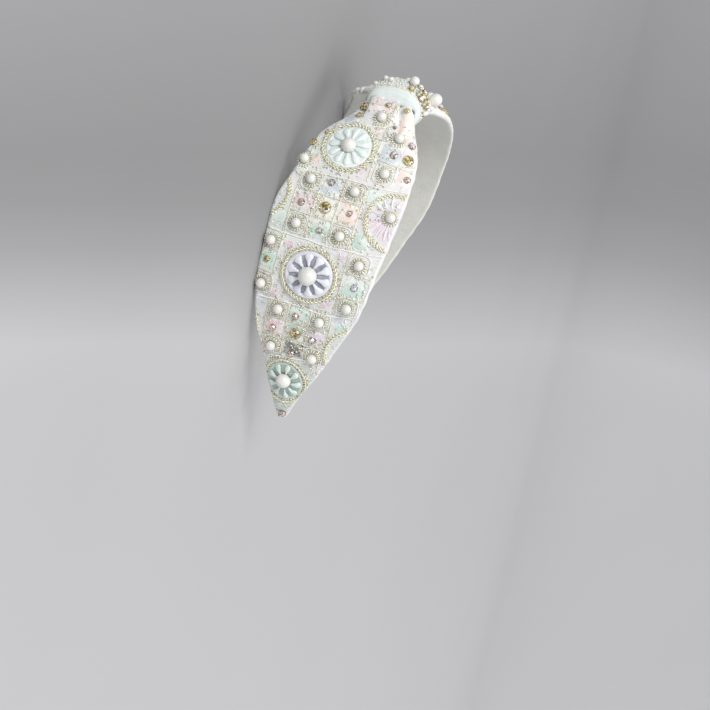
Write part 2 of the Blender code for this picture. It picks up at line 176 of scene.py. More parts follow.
# a fold fades over so many squares at its end, and its step spreads over so many times its width
FOLD_FADE, FOLD_SHOULDER = 0.7, 3
SEAM_PULL, SEAM_WIDTH = 0.30 * MM, 0.16
# share of the creases that the knot presses out
NECK_PRESS = 0.9
# the soft noise: its height, its pace per square, and the row that it is read at, up or down for each side
PUFF, PUFF_PACE, SIDES_APART = 0.35 * MM, 0.9, 3.1


def in_squares(length, across):
    return (abs(length) - MIDDLE_ALONG) / SQUARE, (across - MIDDLE_SHIFT) / SQUARE


def from_squares(rows, columns, side=1):
    return side * (MIDDLE_ALONG + rows * SQUARE), MIDDLE_SHIFT + columns * SQUARE


def crease_depth(length, place):
    depth = 0.0
    for at_knot, at_end, share, reach in CREASES:
        travel = abs(length) / (CREASE_REACH * reach)
        line = at_knot + (at_end - at_knot) * travel
        depth += share * (1 - smooth(travel)) * math.exp(-((place - line) / CREASE_WIDTH) ** 2)
    return depth * CREASE_DEPTH


def reading(line, at, column):
    """The other number of a line of pairs, where the numbers of one column pass a value."""
    inside = [pair for pair in zip(line, line[1:]) if pair[0][column] <= at <= pair[1][column]]
    if not inside:
        return None
    first, last = inside[0]
    share = (at - first[column]) / (last[column] - first[column])
    return first[1 - column] + (last[1 - column] - first[1 - column]) * share


def fold_relief(rows, columns):
    relief = 0.0
    for line, width, depth, step in FOLDS:
        middle = reading(line, rows, 0)
        if middle is not None:
            fade = smooth((line[-1][0] - rows) / FOLD_FADE)
            off = (columns - middle) / width
            relief -= depth * MM * fade * math.exp(-off * off)
            rise = step * MM * fade * math.exp(-abs(off) / FOLD_SHOULDER)
            relief += rise * (-1 if off > 0 else 1) * min(abs(off), 1.0)
    return relief


def seam_relief(rows, columns):
    relief = 0.0
    for line in SEAMS:
        middle = reading(line, columns, 1)
        if middle is not None:
            off = (rows - middle) / SEAM_WIDTH
            relief -= SEAM_PULL * math.exp(-off * off)
    return relief


def cloth_height(length, place):
    """Height of the outer cloth over the hoop. place runs from -1 at the rear edge to 1 at the front edge."""
    lift, bow = station(length)[4:6]
    power = DOME_POWER + NECK_SQUARENESS * neck(length)
    height = lift * NECK_LIFT * (1 - abs(place) ** power) - bow * place ** 2
    height -= crease_depth(length, place) * (1 - NECK_PRESS * neck(length))
    rows, columns = in_squares(length, station(length)[3] + place * station(length)[2])
    spot = Vector((rows * PUFF_PACE, columns * PUFF_PACE, math.copysign(SIDES_APART, length)))
    puff = PUFF * noise.noise(spot)
    return height + fold_relief(rows, columns) + seam_relief(rows, columns) + puff


def lining_height(length, place):
    rise = BAND_THICKNESS - EDGE_THICKNESS - station(length)[5]
    return -BAND_THICKNESS + rise * place ** 2


print("deepest crease", round(crease_depth(0.0, -0.95) / MM, 2), "mm")

# %% [markdown]
# The formulas work in the band's own frame, with X to the right, Y to the front and Z up over the crown.
# The real band lies on a table, on the rear edge of its panels. Two points of that edge give the turn, and
# the one pearl on the knot, whose middle is known in both frames, gives the shift.

# %% Lay the band on the table
KNOT_HALF_WIDTH = 7.5 * MM
KNOT_SIDE_WALL = 1.8 * MM
KNOT_TOP_WALL = 4.8 * MM
KNOT_BOTTOM_WALL = 1.8 * MM
KNOT_PEARL_ANGLE = math.radians(22)
HOLE_SLACK = 1.05
HOLE_SQUARENESS = 4
LOOP_SQUARENESS = 2.3
PEARL_RADIUS = 1.9 * MM
# step round the knot, in radians, between two points that give a direction
TURN_STEP = 0.05


def knot_hole():
    half, _, lift = station(KNOT_HALF_WIDTH)[2:5]
    inner_face = CROWN_RADIUS - BAND_THICKNESS
    bottom = inner_face - inner_face * (1 - math.cos(KNOT_HALF_WIDTH / CROWN_RADIUS)) - 2 * GAP
    top = CROWN_RADIUS + NECK_LIFT * lift + GAP
    return half * HOLE_SLACK + GAP, (top - bottom) / 2, (top + bottom) / 2


def rounded_oval(angle, half_wide, half_high, power):
    sine, cosine = math.sin(angle), math.cos(angle)
    reach = (abs(sine) ** power + abs(cosine) ** power) ** (-1 / power)
    return half_wide * reach * sine, half_high * reach * cosine


def knot_wall(angle, wall):
    """Point of the knot loop over the crown, wall running from 0 on its hole to 1 on the outside."""
    hole_half, hole_high, hole_mid = knot_hole()
    inside = rounded_oval(angle, hole_half, hole_high, HOLE_SQUARENESS)
    high_wall = KNOT_TOP_WALL if math.cos(angle) > 0 else KNOT_BOTTOM_WALL
    outside = rounded_oval(angle, hole_half + KNOT_SIDE_WALL, hole_high + high_wall, LOOP_SQUARENESS)
    return Vector((0, station(0.0)[3] + inside[0] + (outside[0] - inside[0]) * wall,
                   hole_mid + inside[1] + (outside[1] - inside[1]) * wall))


def knot_outward(angle):
    ahead = knot_wall(angle + TURN_STEP, 1) - knot_wall(angle - TURN_STEP, 1)
    return Vector((0, -ahead.z, ahead.y)).normalized()


def table_matrix():
    rear = []
    for along in (REST_LOW_ALONG, REST_HIGH_ALONG):
        point, _, half, middle = station(along * HALF_LENGTH)[:4]
        rear.append(Vector((middle - half, point.z)))
    lean = math.atan2(rear[0].x - rear[1].x, rear[1].y - rear[0].y)
    turn = Matrix.Rotation(math.pi / 2 - lean, 4, "X")
    seat = knot_wall(KNOT_PEARL_ANGLE, 1) + knot_outward(KNOT_PEARL_ANGLE) * (PEARL_RADIUS + GAP)
    pearl_low, pearl_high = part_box("knot_pearl")
    return Matrix.Translation((pearl_low + pearl_high) / 2 - turn @ seat) @ turn


TO_TABLE = table_matrix()
crown = TO_TABLE @ Vector((0, 0, CROWN_RADIUS))
print("crown on the table at", [round(value / MM, 2) for value in crown], "mm")


# %% Find a place on the cloth
def place(length, across, height):
    """Point at a height over the cloth, in the frame of the table."""
    point, outward, half, middle = station(length)[:4]
    share = min(max((across - middle) / half, -1.0), 1.0)
    return TO_TABLE @ (point + outward * (cloth_height(length, share) + height) + Vector((0, across, 0)))


def facing(length, across, step=1.0 * MM):
    """Matrix that stands a piece made at the origin square to the cloth: X along, Y forward, Z outward."""
    along = place(length + step, across, 0) - place(length - step, across, 0)
    forward = place(length, across + step, 0) - place(length, across - step, 0)
    outward = along.cross(forward).normalized()
    forward = outward.cross(along).normalized()
    turn = Matrix((forward.cross(outward), forward, outward)).transposed().to_4x4()
    return Matrix.Translation(place(length, across, 0)) @ turn


def inside_band(length, across, margin=0.0):
    half, middle = station(length)[2:4]
    return abs(length) < HALF_LENGTH - margin and abs(across - middle) < half - margin


print("middle flower at", [round(value / MM, 1) for value in place(*from_squares(-0.13, 0.08), 0)], "mm")

# %% [markdown]
# A material here is a Principled shader with a few nodes in front of it. One helper adds a node and links
# or sets its inputs, so that each finish reads as a short recipe. Values that are the same all over go
# straight on the shader's own sockets.

# %% Helpers for materials
def new_material(name, **sockets):
    material = bpy.data.materials.new(name)
    material.use_nodes = True
    shader = material.node_tree.nodes["Principled BSDF"]
    for socket, value in sockets.items():
        shader.inputs[socket.replace("_", " ").title().replace("Ior", "IOR")].default_value = value
    return material


def add_node(material, kind, inputs=None, **settings):
    made = material.node_tree.nodes.new("ShaderNode" + kind)
    for setting, value in settings.items():
        setattr(made, setting, value)
    for socket, value in (inputs or {}).items():
        if isinstance(value, bpy.types.NodeSocket):
            material.node_tree.links.new(value, made.inputs[socket])
        else:
            made.inputs[socket].default_value = value
    return made


def to_shader(material, **links):
    shader = material.node_tree.nodes["Principled BSDF"]
    for socket, value in links.items():
        material.node_tree.links.new(value, shader.inputs[socket.replace("_", " ").title()])


def mix_colours(material, share, first, second, blend="MIX"):
    mixer = add_node(material, "Mix", data_type="RGBA", blend_type=blend, clamp_factor=True)
    for index, value in ((0, share), (6, first), (7, second)):
        if isinstance(value, bpy.types.NodeSocket):
            material.node_tree.links.new(value, mixer.inputs[index])
        else:
            mixer.inputs[index].default_value = (*value, 1.0) if isinstance(value, tuple) else value
    return mixer.outputs[2]


def spots(material, vector, scale, low, high):
    """Noise stretched between two values, as a share from 0 to 1."""
    grain = add_node(material, "TexNoise", {"Vector": vector, "Scale": scale, "Detail": 3.0})
    share = add_node(material, "MapRange", {"Value": grain.outputs["Fac"], "From Min": low, "From Max": high})
    return share.outputs["Result"]


def bump(material, height, strength, distance, under=None):
    inputs = {"Height": height, "Strength": strength, "Distance": distance}
    if under is not None:
        inputs["Normal"] = under
    return add_node(material, "Bump", inputs).outputs["Normal"]


print("helpers ready")

# %% [markdown]
# The ground cloth is a plain cotton weave, off white with a breath of mint. It reads a UV map in metres, so
# the weave follows the cloth over the crown, and a painted attribute that tints whole squares. Two crossed
# waves make the threads, about a quarter of a millimetre apart, and a long stretched noise makes some
# threads thicker and greyer, as slubs do. The hollows between the threads are painted darker, as painted
# shade.

# %% Cotton
WEAVE_SCALE = 1190.4762
SLUB_LONG, SLUB_SHORT = 180.0, 1900.0
BAND_SHADE, BAND_ROUGHNESS = (0.88, 0.89, 0.88), 0.85


def slub_noise(material, cloth, stretch):
    mapped = add_node(material, "Mapping", {"Vector": cloth, "Scale": stretch}).outputs["Vector"]
    return add_node(material, "TexNoise", {"Vector": mapped, "Scale": 1.0, "Detail": 2.0})


def cotton_material(name, shade, roughness):
    material = new_material(name, Roughness=roughness, Sheen_Weight=0.25, Sheen_Roughness=0.5,
                            Specular_Ior_Level=0.25)
    cloth = add_node(material, "UVMap", uv_map="cloth").outputs["UV"]
    tint = add_node(material, "Attribute", attribute_name="tint").outputs["Color"]
    threads = {"Vector": cloth, "Scale": WEAVE_SCALE, "Distortion": 1.6, "Detail": 1.0, "Detail Scale": 3.0}
    warp = add_node(material, "TexWave", threads, bands_direction="X")
    weft = add_node(material, "TexWave", threads, bands_direction="Y")
    weave = add_node(material, "Math", {0: warp.outputs["Fac"], 1: weft.outputs["Fac"]}, operation="MULTIPLY")
    slub = slub_noise(material, cloth, (SLUB_LONG, SLUB_SHORT, 1.0))
    cross_slub = slub_noise(material, cloth, (SLUB_SHORT, SLUB_LONG, 1.0))
    slubs = add_node(material, "Math", {0: slub.outputs["Fac"], 1: cross_slub.outputs["Fac"]},
                     operation="MULTIPLY")
    thread_shade = add_node(material, "MapRange", {"Value": slubs.outputs["Value"], "From Min": 0.12,
                                                   "From Max": 0.38, "To Min": 0.0, "To Max": 0.55})
    soiled = mix_colours(material, thread_shade.outputs["Result"], tint, shade, "MULTIPLY")
    patchy = mix_colours(material, spots(material, cloth, 160.0, 0.42, 0.75), soiled,
                         tuple(0.5 + 0.5 * value for value in shade), "MULTIPLY")
    # painted shade: the colour is darkened in the low valleys of the weave
    painted_valley_shade = add_node(material, "MapRange", {"Value": weave.outputs["Value"], "From Min": 0.0,
                                              "From Max": 0.4, "To Min": 0.35, "To Max": 0.0})
    colour = mix_colours(material, painted_valley_shade.outputs["Result"], patchy, shade, "MULTIPLY")
    woven = bump(material, weave.outputs["Value"], 0.5, 0.12 * MM)
    lumpy = bump(material, slubs.outputs["Value"], 0.7, 0.30 * MM, under=woven)
    to_shader(material, Base_Color=colour, Normal=lumpy)
    return material


band_cotton = cotton_material("embroidered_cotton", BAND_SHADE, BAND_ROUGHNESS)
print("cotton with", len(band_cotton.node_tree.nodes), "nodes")

# %% [markdown]
# A finished piece needs the same closing steps each time: a mesh, smooth shading where it is round, its
# material, the body that it rides on and the solids that it stands for. One function does them. It also
# presses flat what would reach through the table, as the band's own weight does to its soft rear edge.

# %% Finish a piece
TABLE_TOP = 0.0
ALL_ROUND, FACETED = 180, None


def finish_piece(name, bm, materials, replaces=(), smooth_angle=ALL_ROUND, recalc=True):
    for vert in bm.verts:
        vert.co.z = max(vert.co.z, TABLE_TOP)
    if recalc:
        bmesh.ops.recalc_face_normals(bm, faces=bm.faces)
    mesh = bpy.data.meshes.new(name)
    bm.to_mesh(mesh)
    bm.free()
    for material in materials if isinstance(materials, (list, tuple)) else [materials]:
        mesh.materials.append(material)
    if smooth_angle is not FACETED:
        mesh.shade_smooth()
        if smooth_angle < ALL_ROUND:
            mesh.set_sharp_from_angle(angle=math.radians(smooth_angle))
    piece = bpy.data.objects.new(name, mesh)
    bpy.context.scene.collection.objects.link(piece)
    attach(piece, BODY)
    if replaces:
        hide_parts(*replaces)
    return piece


def triangles(piece):
    return sum(len(face.vertices) - 2 for face in piece.data.polygons)


print("finish ready")

# %% [markdown]
# The band is one padded tube of cloth, flat and wide. Two fine grids are bent over the hoop, one outside
# and one inside. Their heights meet in a round at the edges, where they are merged, so the fold along the
# edge is real. The edge also wanders a little, because a turned seam is never straight.

# %% Paint the squares
WHITE = (0.90, 0.90, 0.89)
WASHES = [
    # rows, columns, radius in squares, strength, colour
    (-6.05, -0.28, 1.5, 0.45, (0.76, 0.89, 0.83)), (-3.3, 2.9, 1.5, 0.55, (0.86, 0.77, 0.86)),
    (-0.13, 0.08, 1.6, 0.35, (0.80, 0.80, 0.84)), (5.62, 0.10, 1.2, 0.60, (0.66, 0.78, 0.71)),
    (-3.0, -2.9, 1.4, 0.40, (0.84, 0.80, 0.88)), (3.3, 2.8, 1.4, 0.35, (0.80, 0.85, 0.82)),
    (-4.3, 1.0, 1.2, 0.30, (0.90, 0.80, 0.80)), (-2.0, -1.9, 1.0, 0.40, (0.72, 0.86, 0.79)),
    (-8.6, 0.4, 1.0, 0.35, (0.88, 0.78, 0.84)), (1.5, -2.0, 0.8, 0.45, (0.70, 0.74, 0.76)),
    (0.9, 2.5, 0.9, 0.30, (0.76, 0.86, 0.78)), (7.4, -0.2, 1.0, 0.35, (0.74, 0.80, 0.74)),
]
WASH_END = 4


def cloth_tint(rows, columns):
    colour = Vector(WHITE)
    for at_row, at_column, radius, strength, wash in WASHES:
        off = ((rows - at_row) ** 2 + (columns - at_column) ** 2) / radius ** 2
        if off < WASH_END:
            colour = colour.lerp(Vector(wash), strength * math.exp(-off * off))
    return (*colour, 1.0)


print(len(WASHES), "washes of colour on each side")

# %% Bend the cloth
STATIONS, FACES_ACROSS = 560, 78
EDGE_ROUND = 1.1 * MM
EDGE_WAVE = 0.28 * MM
WAVE_PACE, WAVE_ROW, WAVE_POWER = 260, 7.0, 6
EDGE_CROWDING = 0.3
MERGE_DISTANCE = 0.01 * MM
LINING_TINT = (0.80, 0.79, 0.74, 1.0)


def closer_at_edges(share):
    return share * (1 + EDGE_CROWDING - EDGE_CROWDING * share * share)


def bend_cloth(bm, cloth, tint, outside):
    verts = bmesh.ops.create_grid(bm, x_segments=STATIONS, y_segments=FACES_ACROSS, size=1.0)["verts"]
    for vert in verts:
        length = vert.co.x * HALF_LENGTH
        share = closer_at_edges(vert.co.y)
        point, outward, half, middle = station(length)[:4]
        wave = EDGE_WAVE * noise.noise(Vector((length * WAVE_PACE, share, WAVE_ROW)))
        across = middle + share * (half + wave * abs(share) ** WAVE_POWER)
        from_edge = min(half * (1 - abs(share)), HALF_LENGTH - abs(length)) / EDGE_ROUND
        sink = 1 - math.sqrt(max(1 - (1 - min(from_edge, 1.0)) ** 2, 0.0))
        top, bottom = cloth_height(length, share), lining_height(length, share)
        height = (top if outside else bottom) * (1 - sink) + (top + bottom) / 2 * sink
        vert.co = TO_TABLE @ (point + outward * height + Vector((0, across, 0)))
        vert[tint] = cloth_tint(*in_squares(length, across)) if outside else LINING_TINT
        for loop in vert.link_loops:
            loop[cloth].uv = (length, across)
    return verts


def make_band():
    bm = bmesh.new()
    cloth = bm.loops.layers.uv.new("cloth")
    tint = bm.verts.layers.float_color.new("tint")
    bend_cloth(bm, cloth, tint, outside=True)
    inner = bend_cloth(bm, cloth, tint, outside=False)
    bmesh.ops.reverse_faces(bm, faces=list({face for vert in inner for face in vert.link_faces}))
    bmesh.ops.remove_doubles(bm, verts=bm.verts, dist=MERGE_DISTANCE)
    bmesh.ops.recalc_face_normals(bm, faces=bm.faces)
    return finish_piece("embroidered_band", bm, band_cotton, ["fabric_band"],
                        recalc=False)


band = make_band()
print("band", triangles(band), "triangles")

# %% [markdown]
# The knot is a padded loop of plain mint cotton that holds the gathers. A half round section is spun into a
# ring, and every point then moves to its place on the squared oval round the neck. Two turned-in folds part
# the plain flanks from the beaded belt between them, and soft noise keeps the padding from looking turned
# on a lathe.

# %% Knot
KNOT_MINT, KNOT_ROUGHNESS = (0.86, 0.91, 0.89), 0.8
BELT_WHITENING = 0.5
KNOT_SECTION_FACES = 36
KNOT_STEPS = 150
KNOT_MEAN_RADIUS = 14 * MM
KNOT_FULLNESS = 0.55
KNOT_HUG = 0.55
BELT_HALF, BELT_SLOPE, BELT_SINK = 4.6 * MM, 1.2 * MM, 0.9 * MM
BELT_SINK_START, BELT_SINK_SPAN = 8, 16
KNOT_FOLD_OUT, KNOT_FOLD_WIDTH, KNOT_FOLD_DEPTH = 0.2 * MM, 0.35 * MM, 0.45 * MM
KNOT_PUFF, KNOT_PUFF_ALONG, KNOT_PUFF_ROUND, KNOT_PUFF_ROW = 0.30 * MM, 140, 1.7, 2.0
RELIEF_SHARPNESS = 1.5
PLEAT_AT, PLEAT_SWAY, PLEAT_WIDTH, PLEAT_DEPTH = 6.3 * MM, 0.5 * MM, 0.30 * MM, 0.25 * MM


def knot_relief(x, angle):
    fold = math.exp(-((abs(x) - BELT_HALF - KNOT_FOLD_OUT) / KNOT_FOLD_WIDTH) ** 2)
    soft = noise.noise(Vector((x * KNOT_PUFF_ALONG, angle * KNOT_PUFF_ROUND, KNOT_PUFF_ROW)))
    pleat = math.exp(-((abs(x) - PLEAT_AT - PLEAT_SWAY * math.sin(2 * angle)) / PLEAT_WIDTH) ** 2)
    sunk = smooth((BELT_SINK_START - math.degrees(angle)) / BELT_SINK_SPAN)
    belt = smooth((BELT_HALF - abs(x)) / BELT_SLOPE) * sunk
    return -KNOT_FOLD_DEPTH * fold + KNOT_PUFF * soft - PLEAT_DEPTH * pleat - BELT_SINK * belt


def knot_place(x, angle, height):
    """Point on the knot: a distance x from its middle, an angle from its top, a height over its cloth."""
    share = min(abs(x) / KNOT_HALF_WIDTH, 1.0)
    crown = math.sqrt(max(1 - share * share, 0.0)) ** KNOT_FULLNESS
    rise = height + knot_relief(x, angle) * min(crown * RELIEF_SHARPNESS, 1.0)
    wall = crown * (1 + KNOT_HUG) - KNOT_HUG
    return TO_TABLE @ (knot_wall(angle, wall) + knot_outward(angle) * rise + Vector((x, 0, 0)))


def make_knot():
    bm = bmesh.new()
    section = [(-1.0, 0.0)]
    for step in range(KNOT_SECTION_FACES):
        turn = math.pi * (1 - (step + 0.5) / KNOT_SECTION_FACES)
        section.append((math.cos(turn), math.sin(turn)))
    section += [(1.0, 0.0), (0.0, 0.0)]
    verts = [bm.verts.new((wide, 0, 1 + high)) for wide, high in section]
    edges = [bm.edges.new((verts[i - 1], verts[i])) for i in range(len(verts))]
    bmesh.ops.spin(bm, geom=verts + edges, axis=(1, 0, 0), cent=(0, 0, 0), angle=2 * math.pi,
                   steps=KNOT_STEPS, use_merge=True, use_duplicate=False)
    bmesh.ops.remove_doubles(bm, verts=bm.verts, dist=1e-5)
    cloth = bm.loops.layers.uv.new("cloth")
    tint = bm.verts.layers.float_color.new("tint")
    for vert in bm.verts:
        x, angle = vert.co.x * KNOT_HALF_WIDTH, math.atan2(vert.co.y, vert.co.z)
        high = math.hypot(vert.co.y, vert.co.z) - 1
        belt = 1.0 if abs(x) < BELT_HALF else 0.0
        vert[tint] = (*Vector(KNOT_MINT).lerp(Vector(WHITE), belt * BELT_WHITENING), 1.0)
        for loop in vert.link_loops:
            loop[cloth].uv = (x, abs(angle) * KNOT_MEAN_RADIUS)
        if high > 0.01 or abs(x) > 0.9 * KNOT_HALF_WIDTH:
            vert.co = knot_place(x, angle, 0)
        else:
            vert.co = TO_TABLE @ (knot_wall(angle, 0) + Vector((x, 0, 0)))
    bmesh.ops.recalc_face_normals(bm, faces=bm.faces)
    return finish_piece("knot", bm, knot_cotton, ["knot_wrap"], recalc=False)


knot_cotton = cotton_material("knot_cotton", KNOT_MINT, KNOT_ROUGHNESS)
knot = make_knot()
print("knot", triangles(knot), "triangles")

# %% [markdown]
# Pearls are glossy beads with a milky body and a thin clear coat. The body colour drifts a little between
# cream, pink and green over each bead, as in pressed glass pearls, and the coat gives the sharp small
# highlight.

# %% Pearl and metal finishes
def pearl_material():
    material = new_material("glass_pearl", Roughness=0.28, Coat_Weight=0.7, Coat_Roughness=0.06,
                            Specular_Ior_Level=0.6, Subsurface_Weight=0.15, Subsurface_Scale=0.6 * MM)
    here = add_node(material, "TexCoord").outputs["Object"]
    cream, green, pink = (0.81, 0.81, 0.75), (0.73, 0.76, 0.71), (0.83, 0.79, 0.77)
    drift = mix_colours(material, spots(material, here, 260.0, 0.35, 0.65), cream, green)
    colour = mix_colours(material, spots(material, here, 420.0, 0.40, 0.70), drift, pink)
    grain = spots(material, here, 2600.0, 0.3, 0.7)
    to_shader(material, Base_Color=colour, Normal=bump(material, grain, 0.15, 0.02 * MM))
    return material


def metal_thread_material(name, light, dark, metallic, roughness):
    material = new_material(name, Metallic=metallic, Roughness=roughness, Specular_Ior_Level=0.6)
    here = add_node(material, "TexCoord").outputs["Object"]
    colour = mix_colours(material, spots(material, here, 900.0, 0.38, 0.68), light, dark)
    fine = spots(material, here, 5200.0, 0.3, 0.7)
    to_shader(material, Base_Color=colour, Normal=bump(material, fine, 0.5, 0.05 * MM))
    return material


pearl = pearl_material()
pale_gold = metal_thread_material("pale_gold_thread", (0.96, 0.95, 0.78), (0.76, 0.71, 0.48), 0.30, 0.30)
coil_wire = metal_thread_material("coil_wire", (0.95, 0.94, 0.82), (0.68, 0.65, 0.45), 0.25, 0.32)
white_thread = metal_thread_material("ivory_thread", (0.95, 0.95, 0.93), (0.84, 0.84, 0.76), 0.0, 0.5)
print("pearl, gold and ivory ready")

# %% [markdown]
# Each single pearl keeps its own piece, in the place of its solid. Its seat in the solid model is a bead
# standing on the cloth. The bead is a little sunk here, as a thread pulls it down into its ring of coiled
# wire.

# %% Pearls
CORNER_NAMES = {"high_rear": (-1, -1), "high_front": (-1, 1), "low_rear": (1, -1), "low_front": (1, 1)}
NINE_PATCHES = {"upper": (-3.03, -0.12, 1.00), "lower": (2.95, 0.05, 0.95)}
SINGLE_PEARLS = {
    "gather_rear": (-7.62, 0.78), "gather_front": (-6.98, 1.80), "shoulder_rear": (-4.85, -1.72),
    "shoulder_front": (-5.22, 1.80), "edge_front": (-3.44, 2.70), "side_rear_high": (-1.00, -1.95),
    "side_rear_low": (1.00, -1.90), "side_front_high": (-1.08, 2.05), "side_front_low": (0.92, 2.02),
}
PEARL_FACES = {"u_segments": 28, "v_segments": 16}
PEARL_RISE = 0.96
LARGE_PEARL_RADIUS, LARGE_PEARL_OUT, LARGE_PEARL_COLUMN = 2.6 * MM, 8.5 * MM, 2.10


def pearl_places():
    places = {}
    for patch, (row, column, corners) in NINE_PATCHES.items():
        for corner, (down, forward) in CORNER_NAMES.items():
            places[f"{patch}_{corner}"] = (row + down, column + forward * corners)
    places.update(SINGLE_PEARLS)
    return places


def make_pearl(name, radius, seat):
    bm = bmesh.new()
    bmesh.ops.create_uvsphere(bm, **PEARL_FACES, radius=radius)
    bmesh.ops.transform(bm, matrix=seat @ Matrix.Translation((0, 0, radius * PEARL_RISE)), verts=bm.verts)
    return finish_piece("bead_" + name, bm, pearl, [name + "_pearl"])


PEARLS = pearl_places()
for side_name, side in SIDES.items():
    for name, (row, column) in PEARLS.items():
        make_pearl(f"{side_name}_{name}", PEARL_RADIUS, facing(*from_squares(row, column, side)))
large_seat = (-KNOT_HALF_WIDTH - LARGE_PEARL_OUT, from_squares(0, LARGE_PEARL_COLUMN)[1])
make_pearl("left_large", LARGE_PEARL_RADIUS, facing(*large_seat))
print(2 * len(PEARLS) + 1, "pearls set")


# %% Pearl on the knot
SIDE_STEP = 0.5 * MM


def knot_facing(x, angle):
    """Matrix that stands a piece made at the origin on the knot."""
    origin = knot_place(x, angle, 0)
    along = knot_place(x + SIDE_STEP, angle, 0) - knot_place(x - SIDE_STEP, angle, 0)
    forward = knot_place(x, angle + TURN_STEP, 0) - knot_place(x, angle - TURN_STEP, 0)
    outward = along.cross(forward).normalized()
    forward = outward.cross(along).normalized()
    turn = Matrix((forward.cross(outward), forward, outward)).transposed().to_4x4()
    return Matrix.Translation(origin) @ turn


knot_bead = bmesh.new()
bmesh.ops.create_uvsphere(knot_bead, **PEARL_FACES, radius=PEARL_RADIUS)
pearl_low, pearl_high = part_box("knot_pearl")
bmesh.ops.translate(knot_bead, vec=(pearl_low + pearl_high) / 2, verts=knot_bead.verts)
finish_piece("bead_knot", knot_bead, pearl, ["knot_pearl"])
print("knot pearl set")

# %% [markdown]
# Threads, coils and frames are lines with a thickness. Each is drawn as a curve with a round bevel and made
# into a mesh. A motif is drawn flat in metres round the origin first, then every point goes to its place on
# the cloth, so a ring follows the bow of the band.

# %% Threads
def thread_mesh(lines, thickness, closed=False, sides=6):
    """A bmesh of round threads. Each line is a list of points, or of (point, relative thickness)."""
    curve = bpy.data.curves.new("thread_line", "CURVE")
    curve.dimensions = "3D"
    curve.bevel_depth = thickness / 2
    curve.bevel_resolution = sides // 2 - 2
    curve.use_fill_caps = True
    for line in lines:
        if len(line) < 2:
            continue
        spline = curve.splines.new("POLY")
        spline.points.add(len(line) - 1)
        spline.use_cyclic_u = closed
        for target, point in zip(spline.points, line):
            place_of, relative = point if isinstance(point, tuple) else (point, 1.0)
            target.co = (*place_of, 1.0)
            target.radius = relative
    holder = bpy.data.objects.new("thread_line", curve)
    bpy.context.scene.collection.objects.link(holder)
    graph = bpy.context.evaluated_depsgraph_get()
    graph.update()
    solid = bpy.data.meshes.new_from_object(holder.evaluated_get(graph))
    bm = bmesh.new()
    bm.from_mesh(solid)
    bmesh.ops.remove_doubles(bm, verts=bm.verts, dist=thickness / 200)
    bpy.data.objects.remove(holder)
    bpy.data.curves.remove(curve)
    bpy.data.meshes.remove(solid)
    return bm


def pour_into(target, source):
    """Adds one bmesh to another and frees it."""
    scratch = bpy.data.meshes.new("scratch")
    source.to_mesh(scratch)
    source.free()
    target.from_mesh(scratch)
    bpy.data.meshes.remove(scratch)


def copy_onto(target, template, move):
    """Adds a copy of a template bmesh to another one, every point moved by a function."""
    copied = template.copy()
    for vert in copied.verts:
        vert.co = move(vert.co)
    pour_into(target, copied)


def onto_cloth(row, column, side):
    """A function that lays flat points round the origin on the cloth round one place in squares."""
    length, across = from_squares(row, column, side)
    return lambda point: place(length + side * point.x, across + point.y, point.z)


def coil_line(major, minor, turns, steps=10):
    points = []
    for index in range(turns * steps):
        around, wind = 2 * math.pi * index / (turns * steps), 2 * math.pi * index / steps
        reach, rise = major + minor * math.cos(wind), minor * (1 + math.sin(wind))
        points.append(Vector((reach * math.cos(around), reach * math.sin(around), rise)))
    return points


COIL_MAJOR, COIL_MINOR, COIL_WIRE, COIL_TURNS = 2.62 * MM, 0.52 * MM, 0.40 * MM, 17
coil = thread_mesh([coil_line(COIL_MAJOR, COIL_MINOR, COIL_TURNS)], COIL_WIRE, closed=True)
for side_name, side in SIDES.items():
    coils = bmesh.new()
    for row, column in PEARLS.values():
        copy_onto(coils, coil, onto_cloth(row, column, side))
    piece = finish_piece(side_name + "_pearl_coils", coils, coil_wire)
    print(piece.name, triangles(piece), "triangles")

# %% [markdown]
# Between the metal threads the real cloth is filled with satin stitch: flat silk threads laid side by side,
# one colour to a cell. Each patch is a thin closed grid with a low crown, ridged across like the threads,
# with ragged ends. All patches of one side are one piece, and a painted attribute gives each its own
# colour.

